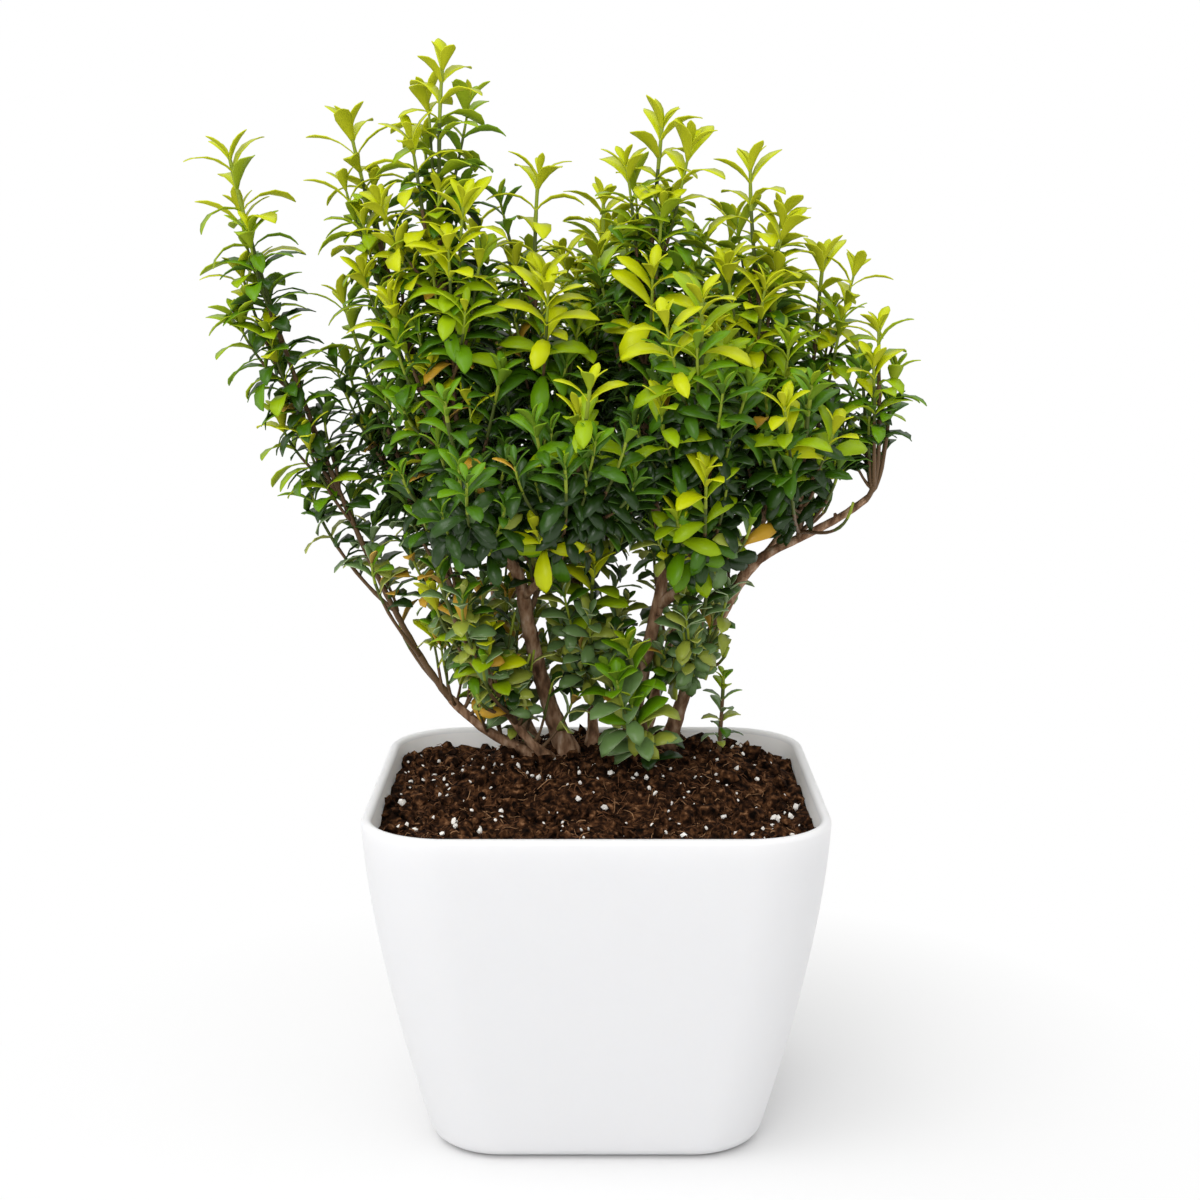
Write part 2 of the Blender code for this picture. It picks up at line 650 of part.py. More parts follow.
def plan_mass(which, mass, side_shoots, spaces):
    """Twigs and leaves of one mass, as (points, faces); a leaf that would cut another piece turns or is skipped."""
    dice = random.Random(mass["seed"] + 100)
    kinds = [(mass["curve"], LEADER_RADIUS, LEADER_BARE, LEADER_SPACING, LEADER_STATIONS)]
    kinds += [(shoot, SHOOT_RADIUS, SHOOT_BARE, SHOOT_SPACING, SHOOT_STATIONS) for shoot in side_shoots]
    twigs = []
    for curve, radii, _, _, stations in kinds:
        points = twig_points(curve, radii, stations, mass["soil"] and not twigs)
        twigs.append((points, ring_faces(stations, TWIG_SIDES)))
    twig_trees = [BVHTree.FromPolygons(*twig) for twig in twigs]
    leaves = []
    leaf_trees = []
    for k, (curve, radii, bare, spacing, _) in enumerate(kinds):
        others = twig_trees[:k] + twig_trees[k + 1:]
        for share, radius, turn, lift, size in leaf_places(curve, radii, bare, spacing * mass["size"], dice):
            for more in TURNS_TRIED:
                corners = turned_leaf(curve, share, radius, turn + more, lift, size * mass["size"])
                if not spaces.holds(which, blade_samples(corners)):
                    continue
                tree = BVHTree.FromPolygons(corners, LEAF_FACES)
                if any(tree.overlap(other) for other in others + leaf_trees):
                    continue
                leaves.append((corners, LEAF_FACES))
                leaf_trees.append(tree)
                break
    return twigs, leaves


def faults(thing):
    """Middles of the edges of a mesh that don't have exactly two faces."""
    shape = bmesh.new()
    shape.from_mesh(thing.data)
    found = [(edge.verts[0].co + edge.verts[1].co) / 2 for edge in shape.edges if not edge.is_manifold]
    shape.free()
    return found


def build_mass(name, twigs, leaves, finish):
    """Fuses one mass; while a seam comes out faulty, the leaf nearest to it is left out."""
    made = None
    for _ in range(LEAVES_SPARED + 1):
        if made:
            bpy.data.objects.remove(made, do_unlink=True)
        pieces = []
        for points, faces in twigs + leaves:
            piece = add_object("piece", points, faces, finish)
            face_outwards(piece)
            pieces.append(piece)
        made = fuse(name, pieces, finish)
        found = faults(made)
        if not found:
            break
        leaves = sorted(leaves, key=lambda leaf: (leaf[0][0] - found[0]).length)[1:]
    return made


def main():
    clear_scene()
    pot_finish = material("pot_plastic", (0.90, 0.90, 0.90), 0.32)
    soil_finish = material("potting_soil", (0.060, 0.032, 0.020), 0.95)
    bark_finish = material("bark", (0.150, 0.085, 0.050), 0.85)
    leaf_finish = material("leaf", (0.130, 0.300, 0.030), 0.42)
    build_pot(pot_finish)
    build_soil(soil_finish)
    limbs = plan_limbs()
    for name, limb in limbs.items():
        build_limb(name, limb, bark_finish)
    masses = plan_masses(limbs)
    spaces = Spaces(masses, limbs)
    grown = plan_shoots(masses, spaces)
    for which, mass in enumerate(masses):
        twigs, leaves = plan_mass(which, mass, grown[which], spaces)
        build_mass(mass["name"], twigs, leaves, leaf_finish)


main()
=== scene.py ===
"""Looks of the potted euonymus: leaves, twigs, bark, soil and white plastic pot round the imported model.

Metres, +Z up, -Y the front. The limbs and leaders follow the part's own rule, written again here, and
the foliage is carried on to finer shoots. Every shoot has a young end, with long bright leaves set wide
apart, and an older stretch below it, with short dark leaves packed close together.
"""

import math
import random

import bpy
import numpy as np
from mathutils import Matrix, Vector, noise

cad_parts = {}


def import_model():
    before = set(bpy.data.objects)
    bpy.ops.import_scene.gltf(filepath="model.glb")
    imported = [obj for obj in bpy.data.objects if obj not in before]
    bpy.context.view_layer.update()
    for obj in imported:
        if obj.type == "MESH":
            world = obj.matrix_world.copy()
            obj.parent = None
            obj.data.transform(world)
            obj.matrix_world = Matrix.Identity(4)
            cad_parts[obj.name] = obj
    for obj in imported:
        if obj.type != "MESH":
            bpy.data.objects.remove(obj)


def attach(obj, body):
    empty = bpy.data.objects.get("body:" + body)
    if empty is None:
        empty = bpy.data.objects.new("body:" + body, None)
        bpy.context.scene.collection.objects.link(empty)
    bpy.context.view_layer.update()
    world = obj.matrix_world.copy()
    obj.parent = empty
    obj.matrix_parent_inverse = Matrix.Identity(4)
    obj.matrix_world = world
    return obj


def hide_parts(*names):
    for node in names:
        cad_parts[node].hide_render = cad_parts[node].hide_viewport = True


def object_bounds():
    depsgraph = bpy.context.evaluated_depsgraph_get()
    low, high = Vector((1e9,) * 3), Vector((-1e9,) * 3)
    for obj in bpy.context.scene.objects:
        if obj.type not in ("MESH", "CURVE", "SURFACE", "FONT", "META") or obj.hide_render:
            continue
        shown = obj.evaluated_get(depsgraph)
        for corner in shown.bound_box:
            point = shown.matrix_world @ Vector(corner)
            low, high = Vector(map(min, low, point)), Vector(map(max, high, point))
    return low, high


UP = np.array((0.0, 0.0, 1.0))

# Camera, fitted to the pot in the photograph.
CAMERA_DISTANCE = 1.0843
CAMERA_HEIGHT = 0.4716
CAMERA_PITCH = 0.1745
SENSOR = 36.0
LENS = 61.38
SHIFT_X = 0.0031

# Light.
SKY_LIGHT = (0.36, 1.30)  # at the horizon and overhead
LIGHTS = (  # name, place, target, size, power
    ("key", (-1.0, -0.9, 2.0), (0, 0, 0.30), 1.5, 14.0),
    ("fill", (-0.5, -2.1, 1.25), (0, 0, 0.20), 1.3, 15.0),
)
FLOOR_LIT = (0.10, 0.36)  # distances between which the floor passes into even white
FLOOR_RADIUS = 60.0
FLOOR_SIDES = 96
FLOOR_DROP = 0.0003

# Pot.
POT_HEIGHT = 0.182
RIM_HALF = 0.120
FOOT_HALF = 0.0865
SIDE_BULGE = 1.45
RIM_CORNER = 0.0455
FOOT_CORNER = 0.0370
FOOT_EDGE = 0.008
WALL = 0.0055
FLOOR = 0.006
FOOT_RINGS = 8
SIDE_RINGS = 36
RIM_RINGS = 10
INNER_RINGS = 12
POT_POINTS = (22, 6)  # of a ring: on each corner, and on each side between them

# Soil.
SOIL_EDGE_Z = 0.171
SOIL_TOP_Z = 0.184
SOIL_BASE_Z = 0.150
SOIL_DROP = 0.001  # how far the drawn soil lies below the part's, to leave room for what lies on it
SOIL_GAP = 0.0004  # to the pot's wall
HEAP_CENTRE = (0.014, 0.042)
HEAP_TOP_REACH = (0.066, 0.043)
HEAP_FOOT_REACH = (0.104, 0.100)
SOIL_RINGS = 70
SOIL_POINTS = (28, 14)
SOIL_BUMPS = ((0.0034, 60.0), (0.0032, 125.0), (0.0015, 330.0))  # height, and bumps per metre
CLODS = 2200
CLOD_SIZES = (0.0009, 0.0042, 4)  # the least, what the largest has on top, and how rare large ones are
CLOD_RISE = (0.0, 0.5)  # of a clod's middle above the soil, as a share of its size
CLOD_ROUGH = 0.38
PERLITE = 300
PERLITE_SIZES = (0.0007, 0.0010, 2)
PERLITE_LIFT = 0.0008
PERLITE_ROUGH = 0.36
FIBRES = 1900
FIBRE_LENGTHS = (0.003, 0.012)
FIBRE_CURL = 1.6
FIBRE_RISE = (0.0005, 0.0012)  # above the soil: at the ends, and the most that the middle has on top
FIBRE_RADII = (0.00012, 0.00032)
FIBRE_TINTS = (("dark_fibre", "3a2519", 4), ("brown_fibre", "6e4a32", 5), ("pale_fibre", "a9805c", 2))

# Wood.
ROOT_FLARE = 0.75
FLARE_REACH = 0.09
LEAST_LEAN = math.radians(38)
FOOT_DEPTH = 0.004
BOUGH_ROOT = 0.97  # where a bough or leader that carries a limb on has its root, along that limb
LEADER_ROOT = 0.96
LIMB_SIDES = 22
LIMB_STEP = 0.0016
BARK_RELIEF = 0.13  # as a share of the radius
BARK_NOISE = ((1.6, 1.0), (4.1, 0.6), (9.0, 0.35))  # how fine, and how strong
BARK_GIRTH = 1.3  # how fast the ridges change round a limb, and along it
BARK_RUN = 0.10
KNOBS = (0.07, 0.55)  # how high, and how many radians from ring to ring
STUB_SPACING = 0.016
STUB_SHARES = (0.12, 0.95)
STUB_RADII = (0.0005, 0.0011)
STUB_SIDES = 7

# Foliage rule, as in the part's source.
LEADER_RADIUS = 0.0019
SOIL_SHOOT_RADIUS = 0.8  # as a share of that
SOIL_SHOOT_DEPTH = 0.002
START_PULL = 0.16
END_PULL = 0.36
SHOOT_LOWEST = 0.22
SHOOT_HIGHEST = 0.95
SHOOT_REACH = (0.55, 1.0)
SHOOT_RISE = 0.050
CANDIDATES = 14
SPACE_CLEARANCE = 0.0012
LIMB_CLEARANCE = 0.0008
SOIL_CLEARANCE = 0.002
RIM_CLEARANCE = 0.006
RIM_INSIDE = 0.098

# Finer shoots, which only the looks have.
FINE_SEED = 500
FINE_DENSITY = 0.78e5  # finer shoots for a mass's length times the square of its reach, in cubic metres
FINE_RISE = (0.026, 0.050)
FINE_SPREAD = 0.6  # how far they reach, as a share of the mass's own reach, in the crown and low down
FINE_SPREAD_LOW = 0.81
FINE_REACH = (0.35, 0.95)  # of that spread
FINE_LEAST_REACH = 0.010
LOW_FINE = 16  # finer shoots of a mass low on a stem, and of a shoot from the soil
SOIL_SHOOT_FINE = 4
TIP_GROWTH = (0.009, 0.005, 0.002)  # how far leaders, side shoots and finer shoots grow past the part's tips
SOIL_SHOOT_GROWTH = (0.016, 0.010, 0.004)
TWIG_STEP = 0.005
TWIG_SIDES = (8, 6, 6)  # of leaders, side shoots and finer shoots, as in the next three rows
TWIG_BASES = (LEADER_RADIUS, 0.0015, 0.0012)
TWIG_TIPS = (0.0010, 0.0008, 0.0007)
TWIG_WOODY = (0.75, 0.60, 0.45)  # share of their length that is brown
TWIG_BARE = (0.05, 0.12, 0.12)  # share of their length, at the foot, without leaves
TWIG_FLARE = (0.45, 0.12)  # share of the taper that is a flare, and how far it reaches
TWIG_NODES = (0.10, 1.9)  # how high the swellings are, and how many radians from ring to ring

# How open and how strong shoots are.
OPEN_RADIUS = 0.026  # of the column outwards from a tip in which other tips shade it
OPEN_AHEAD = 0.006
OPEN_TIPS = 6.0  # as many of them as shade it fully
CROWN_CENTRE = (0.0, 0.050, 0.300)
FULL_VIGOUR_Z = (0.375, 0.455)  # heights between which shoots gain vigour
LOW_VIGOUR = 0.22  # vigour of low shoots, as a share of that of high ones
BRIGHT_RANGE = (0.5 * LOW_VIGOUR, 0.5)  # vigour of shoots of which some are nearly as bright as the highest
BRIGHT_SHARE = 0.15
BRIGHT_LOW = (0.60, 0.84)  # vigour and brightness of these
SOIL_SHOOT_VIGOUR = (0.45, 0.46)

# Where pairs of leaves stand on a shoot, by their distance d from its tip.
LEAF_SEED = 900
FIRST_PAIRS = (0.0004, 0.0030, 0.0080)
YOUNG_LENGTH = (0.014, 0.054)  # of a shoot's young end, in the shade and in the open
YOUNG_SPREAD = (0.6, 1.1)
YOUNG_SPACING = 0.0090
OLD_SPACING = 0.0054
SOIL_SHOOT_SPACING = 0.0090
YOUNG_SPACING_SPREAD = (0.8, 1.15)
OLD_SPACING_SPREAD = (0.85, 1.2)
LEAFLESS = 0.10  # of the old nodes, those that have lost their leaves
LEAFLESS_LOW = 0.30  # the same on top of it low down
LOW_LEAVES_Z = (0.335, 0.265)  # heights between which leaves turn shorter, broader and greyer
BOX_SHARE = 0.02  # how far leaves may pass the part's box: a share of its side, and metres on top
BOX_SPARE = 0.009
LEAF_CLEARANCE = 0.0004
TRUNK_VIEW = (0.0065, 0.12)  # half the width, and the depth, in front of the trunk that leaves keep free
LEADER_VIEW = (0.0032, 0.03)  # the same for the older stretch of a leader
LEADER_SHOWN = 0.55  # that stretch, as a share of its length
SKIRT = (  # distances from the crown's axis, and heights above which leaves grow there
    (0.030, 0.050, 0.065, 0.090, 0.120, 0.160),
    (0.190, 0.225, 0.254, 0.300, 0.334, 0.368),
)
SKIRT_CENTRE = (0.010, 0.050)
SKIRT_DROP = 0.065  # how much lower the leaves hang on the left
SKIRT_LEFT = (0.01, 0.05)  # how far left that begins, and over which width it grows

# Shape of leaves.
LEAF_SIZES = (0.0205, 0.0295)  # of the longest leaf of a shoot, in the shade and in the open
SOIL_SHOOT_SIZE = 1.15
MASS_SIZE_POWER = 0.3
SIZE_SPREAD = (0.88, 1.12)
TIP_LEAF = (0.40, 0.010)  # length of the leaves at the tip, as a share, and the d at which they are grown
OLD_LEAF = (0.78, 0.02)  # length of old leaves, as a share, and over which length they get so short
LOW_LEAF = 0.10  # how much shorter low leaves are, and how much longer the low ones of a shoot from the soil
SOIL_SHOOT_LOW_LEAF = 0.12
LEAF_WIDTH = (0.335, 0.465)  # as a share of the length, high and low
LEAF_THICKNESS = 0.00045
LEAF_OPENED = 0.026  # the d by which leaves have opened
LEAF_LEAN = (13, 25, 18)  # degrees off the shoot: at its tip, more by LEAF_OPENED, and more by LEAF_FAR
LEAF_FAR = 0.08
LEAF_BEND = (38, 52)  # degrees along the blade: at the tip, and more by LEAF_OPENED
BEND_SPREAD = (0.75, 1.25)
LEAF_FOLD = (5, 18)  # degrees along the midrib
FOLD_EASE = 0.45  # share of the fold that is gone at the blade's tip
PAIR_STRAY = 0.30  # radians by which a pair's turn, a leaf's own turn, its lean and its twist may be off
TURN_STRAY = 0.15
LEAN_STRAY = 0.14
TWIST_STRAY = 0.3
LEAF_OUTLINE = (  # places along a blade, and its width there as a share of the widest
    (0.0, 0.10, 0.26, 0.44, 0.62, 0.70, 0.82, 0.93, 1.0),
    (0.13, 0.24, 0.54, 0.82, 0.98, 1.0, 0.82, 0.42, 0.03),
)
BEND_STEPS = 40

# Age of leaves, from 0 to 1, which picks their tint.
SHADE_AGE = 0.66  # of a shoot's first leaves: what full shade adds, and what is taken off everywhere
FRESH_AGE = 0.04
SHOOT_AGE_STRAY = 0.06
LEAF_AGE_STRAY = 0.09
YOUNG_AGEING = 0.26  # how far leaves age along a shoot's young end
OLD_AGEING = ((0.30, 0.008), (0.25, 0.060))  # the same past it: how far, and over which length
GREY_AGE = 0.45  # from which low leaves may be sage or olive
LOW_TINT_SHARE = 0.85  # of these
OLIVE_SHARE = 0.46
OCHRE_SHARE = 0.014
OCHRE_ZONE = (-0.125, -0.045, 0.20, 0.30)  # x and z limits of the low left part, where old leaves turn
OCHRE_ZONE_SHARE = 0.17

# Base colours of leaves, youngest first: upper face, underside, margin (a paler colour on the edges, a painted
# highlight along the rims), and how glossy the upper face is.
LEAF_TINTS = (
    ("lime", "bec80a", "bcc028", "cad02a", 0.18),
    ("spring", "92b00a", "9cae28", "a6ba24", 0.20),
    ("fresh", "629008", "769428", "7c9e20", 0.24),
    ("green", "416c0a", "5c7a2c", "5a7e26", 0.32),
    ("deep", "28480a", "466028", "446224", 0.40),
    ("dark", "1f390c", "3a5024", "385422", 0.42),
    ("sage", "68864c", "8aa070", "a4b688", 0.36),
    ("olive", "98a43c", "aab05a", "c4ca70", 0.30),
    ("ochre", "c4982c", "ac8c46", "d6ae50", 0.25),
)
YOUNG_TINTS = 3
AGES, SAGE, OLIVE, OCHRE = 6, 6, 7, 8
TWIG_TINTS = (("young_twig", "8a9a2c"), ("green_twig", "535f26"), ("brown_twig", "6b5238"))

# Grain of the materials: how fine the noise is, its detail, and the bump's strength and depth.
LEAF_GRAIN = (900.0, 3.0, 0.05, 0.0003)
TWIG_GRAIN = (700.0, 4.0, 0.4, 0.0004)
BARK_GRAIN = (260.0, 6.0, 0.9, 0.0010)
POT_GRAIN = (1400.0, 2.0, 0.06, 0.0003)
SOIL_GRAIN = (260.0, 9.0, 1.0, 0.0018)
FIBRE_GRAIN = (1200.0, 4.0, 0.4, 0.0003)
PERLITE_GRAIN = (1500.0, 4.0, 0.6, 0.0004)
BARK_COLOURS = ((0.30, "523a28"), (0.47, "8a684e"), (0.60, "ae8c70"), (0.75, "ccb29a"))
SOIL_COLOURS = ((0.34, "0b0604"), (0.48, "2a190f"), (0.60, "553722"), (0.74, "936b4b"))
POT_FINISHES = (  # outside and inside: colour, and the least and the most roughness; the inside's paler, warmer colour is painted light, lifting the shade inside the pot and painting a warm bounce from the soil
    ("pot_plastic", (0.825, 0.82, 0.83), 0.30, 0.38),
    # painted light: the inside is whiter and warmer than the outside, though it is the same plastic, to light
    # the inner wall and paint the soil's warm bounce
    ("pot_inside_painted_light", (0.97, 0.945, 0.925), 0.48, 0.60),
)

# Stems: name, foot (x, y), tip, bow, radii at the foot and at the tip.
STEMS = (
    ("outer_left_stem", (-0.036, 0.046), (-0.082, 0.044, 0.216), (-0.002, 0, -0.003), 0.003, 0.0024),
    ("left_stem", (-0.026, 0.032), (-0.057, 0.026, 0.228), (-0.002, 0, -0.003), 0.0027, 0.002),
    ("main_trunk", (-0.017, 0.05), (-0.041, 0.028, 0.283), (-0.003, 0, 0), 0.0049, 0.0036),
    ("centre_stem", (-0.002, 0.066), (-0.009, 0.08, 0.272), (0.002, 0, 0), 0.0027, 0.0019),
    ("right_stem", (0.017, 0.048), (0.036, 0.04, 0.279), (0, 0, 0), 0.0041, 0.0033),
    ("outer_right_stem", (0.041, 0.064), (0.083, 0.05, 0.286), (-0.003, 0, 0.002), 0.0037, 0.003),
    ("back_left_stem", (-0.036, 0.068), (-0.062, 0.112, 0.284), (-0.004, 0.004, -0.004), 0.0031, 0.0022),
    ("back_right_stem", (0.026, 0.076), (0.055, 0.122, 0.286), (0.002, 0.006, -0.004), 0.0033, 0.0023),
)
# Boughs: name, stem, share of the stem where they leave it, tip, bow, radii.
BOUGHS = (
    ("main_left_bough", "main_trunk", 1, (-0.069, -0.004, 0.33), (-0.006, 0, -0.006), 0.0032, 0.0023),
    ("main_right_bough", "main_trunk", 0.93, (-0.018, -0.012, 0.31), (0.002, 0, -0.006), 0.0023, 0.0018),
    ("right_upright_bough", "right_stem", 1, (0.03, 0.03, 0.336), (0.002, 0, 0), 0.003, 0.0022),
    ("right_long_bough", "right_stem", 0.9, (0.088, 0.014, 0.318), (-0.002, 0, -0.006), 0.0029, 0.002),
    ("outer_right_bough", "outer_right_stem", 1, (0.147, 0.024, 0.332), (-0.004, 0, -0.006), 0.0028, 0.0019),
    ("right_inner_bough", "outer_right_stem", 0.92, (0.112, 0.066, 0.322), (0.002, 0, -0.004), 0.0021, 0.0016),
)
# Masses: name, limb, share of the limb where the leader starts, top of the leader, direction at the top,
# reach of the side shoots, how many there are, size of the leaves, seed.
MASSES = (
    ("left_arching_foliage", "outer_left_stem", 1, (-0.192, 0.02, 0.506), (-0.2, 0, 1), 0.02, 5, 1.2, 95),
    ("left_inner_foliage", "left_stem", 1, (-0.136, 0.046, 0.43), (-0.3, 0.1, 1), 0.034, 6, 1.2, 95),
    ("left_low_foliage", "left_stem", 0.55, (-0.082, -0.022, 0.292), (-0.2, -0.1, 1), 0.024, 3, 0.8, 31),
    ("left_front_foliage", "main_left_bough", 0.74, (-0.074, -0.072, 0.384), (-0.1, -0.1, 1), 0.044, 5, 1, 32),
    ("left_upper_foliage", "main_left_bough", 0.88, (-0.13, 0.036, 0.522), (-0.2, 0, 1), 0.03, 4, 0.9, 7),
    ("left_tall_foliage", "main_left_bough", 1, (-0.08, 0, 0.55), (0.1, 0, 1), 0.04, 6, 0.95, 48),
    ("centre_left_foliage", "main_trunk", 0.82, (-0.031, 0.006, 0.496), (0.1, 0, 1), 0.042, 5, 1, 70),
    ("centre_front_foliage", "main_right_bough", 1, (-0.004, -0.082, 0.392), (0.1, -0.1, 1), 0.044, 5, 1, 6),
    ("centre_low_foliage", "centre_stem", 0.45, (-0.002, 0.02, 0.288), (0.1, -0.1, 1), 0.026, 3, 0.8, 53),
    ("centre_foliage", "centre_stem", 1, (0.004, 0.08, 0.484), (0, 0.1, 1), 0.042, 6, 1, 36),
    ("centre_right_foliage", "right_upright_bough", 1, (0.034, 0.024, 0.522), (0.1, 0, 1), 0.042, 5, 1, 21),
    ("right_front_foliage", "right_long_bough", 0.45, (0.052, -0.066, 0.434), (0, -0.1, 1), 0.044, 5, 1, 18),
    ("right_tall_foliage", "right_long_bough", 1, (0.082, 0.028, 0.5), (0, 0, 1), 0.042, 5, 1, 12),
    ("right_outer_foliage", "right_inner_bough", 1, (0.124, 0.056, 0.452), (0.1, 0, 1), 0.036, 4, 0.95, 13),
    ("far_right_foliage", "outer_right_bough", 1, (0.15, 0.01, 0.416), (0, 0, 1), 0.024, 3, 0.85, 14),
    ("right_low_foliage", "outer_right_bough", 0.55, (0.108, -0.046, 0.39), (0.1, -0.1, 1), 0.04, 4, 0.95, 15),
    ("right_basal_foliage", "outer_right_stem", 0.35, (0.06, 0.01, 0.282), (0.1, -0.1, 1), 0.022, 2, 0.8, 34),
    ("back_left_foliage", "back_left_stem", 1, (-0.07, 0.128, 0.47), (-0.1, 0.1, 1), 0.05, 6, 1, 16),
    ("back_centre_foliage", "back_right_stem", 0.91, (0.004, 0.156, 0.464), (0, 0.1, 1), 0.044, 5, 1, 17),
    ("back_right_foliage", "back_right_stem", 1, (0.078, 0.126, 0.472), (0.1, 0.1, 1), 0.048, 6, 1, 18),
)
# Shoots that rise from the soil by themselves: name, foot (x, y), top, direction, reach, count, size, seed.
SOIL_SHOOTS = (
    ("front_shoot_foliage", (0.031, 0.01), (0.02, -0.008, 0.242), (-0.2, 0, 1), 0.024, 2, 0.75, 21),
    ("small_sprig_foliage", (0.07, 0.052), (0.072, 0.05, 0.212), (0, 0, 1), 0.01, 1, 0.45, 22),
)
# Short leafy sprouts low on the stems: the mass that they belong to, their stems, and how many there are.
SPROUTS = (
    ("left_low_foliage", ("outer_left_stem",), 14),
    ("left_low_foliage", ("left_stem", "back_left_stem"), 12),
    ("centre_low_foliage", ("centre_stem", "right_stem", "back_left_stem"), 14),
    ("right_basal_foliage", ("outer_right_stem", "right_stem", "back_right_stem"), 14),
)
SPROUT_SEED = 700
SPROUT_SHARES = (0.15, 1.0)
SPROUT_REACH = (0.008, 0.024)
SPROUT_RISE = (0.016, 0.044)
SPROUT_CLEARANCE = 0.0050


# ---- numbers and vectors


def linear(code):
    """Linear RGB of a hex colour."""
    values = [int(code[k:k + 2], 16) / 255 for k in (0, 2, 4)]
    return tuple(v / 12.92 if v <= 0.04045 else ((v + 0.055) / 1.055) ** 2.4 for v in values)


def unit(vector):
    vector = np.asarray(vector, float)
    return vector / np.linalg.norm(vector, axis=-1, keepdims=True)


def between(pair, share):
    return pair[0] + (pair[1] - pair[0]) * share


def passed(value, limits):
    """How far a value has gone from the first limit to the second, from 0 to 1."""
    return min(1.0, max(0.0, (value - limits[0]) / (limits[1] - limits[0])))


def distances(points, others):
    """From each point to each of the others."""
    return np.sqrt(((points[:, None, :] - others[None, :, :])**2).sum(axis=2))


def stray(dice, most):
    return dice.uniform(-most, most)


def level_way(turn):
    return np.array((math.cos(turn), math.sin(turn), 0.0))


# ---- curves, as in the part's source


def bezier(curve, t):
    t = np.atleast_1d(np.asarray(t, float))[:, None]
    s = 1.0 - t
    return curve[0] * s**3 + curve[1] * 3 * s * s * t + curve[2] * 3 * s * t * t + curve[3] * t**3


def bezier_direction(curve, t):
    t = np.atleast_1d(np.asarray(t, float))[:, None]
    s = 1.0 - t
    first, middle, last = np.diff(curve, axis=0)
    return unit(first * s * s + middle * 2 * s * t + last * t * t)


def curve_length(curve, steps=16):
    points = bezier(curve, np.linspace(0, 1, steps + 1))
    return float(np.linalg.norm(np.diff(points, axis=0), axis=1).sum())


def bowed(start, end, bow):
    way = np.array(end) - start
    swing = np.array(bow) * (4.0 / 3.0)
    return np.array((start, start + way / 3 + swing, start + way * 2 / 3 + swing, end))


def rising(start, direction, end, end_direction):
    reach = np.linalg.norm(np.array(end) - start)
    first = start + unit(direction) * (reach * START_PULL)
    return np.array((start, first, end - unit(end_direction) * (reach * END_PULL), end))


def longer(curve, more):
    """A shoot grown past its tip."""
    grown = curve.copy()
    way = unit(curve[3] - curve[2])
    grown[2] += way * more * 0.7
    grown[3] += way * more
    return grown


def across(direction):
    helper = UP if abs(direction[2]) < 0.9 else np.array((1.0, 0.0, 0.0))
    side = unit(np.cross(direction, helper))
    return side, unit(np.cross(side, direction))


# ---- limbs and masses, as in the part's source


def limb_radius(limb, t):
    radius = between(limb["radii"], t)
    if limb["root"] is None:
        radius = radius + limb["radii"][0] * ROOT_FLARE * np.exp(-t / FLARE_REACH)
    return radius


def branch_start(limb, share, towards, own_radius, end_root):
    """Where a branch leaves a limb, its first direction, and its root within the limb."""
    if share == 1.0:
        curve = limb["curve"]
        return bezier(curve, 1.0)[0], bezier_direction(curve, 1.0)[0], bezier(curve, end_root)[0]
    root = bezier(limb["curve"], share)[0]
    tangent = bezier_direction(limb["curve"], share)[0]
    aim = unit(towards - root)
    lean = max(math.acos(max(-1.0, min(1.0, aim @ tangent))), LEAST_LEAN)
    outward = unit(aim - tangent * (aim @ tangent))
    aim = outward * math.sin(lean) + tangent * math.cos(lean)
    reach = (limb_radius(limb, share) + own_radius * math.cos(lean)) / math.sin(lean)
    return root + aim * reach, aim, root


def plan_limbs():
    """Curve, radii and root of each limb; a stem has no root."""
    limbs = {}
    for name, foot, tip, bow, *radii in STEMS:
        curve = bowed(np.array((*foot, SOIL_TOP_Z)), tip, bow)
        limbs[name] = {"curve": curve, "radii": radii, "root": None}
    for name, stem, share, tip, bow, *radii in BOUGHS:
        start, aim, root = branch_start(limbs[stem], share, tip, radii[0], BOUGH_ROOT)
        curve = bowed(start, tip, bow)
        curve[1] = start + aim * np.linalg.norm(curve[1] - start)
        limbs[name] = {"curve": curve, "radii": radii, "root": root}
    return limbs


def plan_masses(limbs):
    """Leader and numbers of each mass; a shoot from the soil has no root."""
    masses = []
    for name, limb, share, top, direction, *numbers in MASSES:
        start, aim, root = branch_start(limbs[limb], share, top, LEADER_RADIUS, LEADER_ROOT)
        base = limbs[limb]["radii"][1] if share == 1.0 else LEADER_RADIUS
        low = top[2] < LOW_LEAVES_Z[0]
        masses.append((name, rising(start, aim, top, direction), root, base, low, *numbers))
    for name, foot, top, direction, *numbers in SOIL_SHOOTS:
        curve = rising(np.array((*foot, SOIL_TOP_Z - SOIL_SHOOT_DEPTH)), UP, top, direction)
        masses.append((name, curve, None, LEADER_RADIUS * SOIL_SHOOT_RADIUS, True, *numbers))
    keys = ("name", "curve", "root", "base", "low", "reach", "count", "size", "seed")
    return [dict(zip(keys, mass)) for mass in masses]


def side_shoot(host, length, level, turn, reach, rise):
    """A shoot that leaves its host low down and turns up to a tip beside it, at a level of its height."""
    out = level_way(turn)
    tip = bezier(host, level)[0] + out * reach
    root_share = max(0.03, level - (rise + 0.9 * reach) / length)
    aim = bezier_direction(host, root_share)[0] * 0.8 + out * 0.9
    return rising(bezier(host, root_share)[0], aim, tip, UP + out * 0.25)


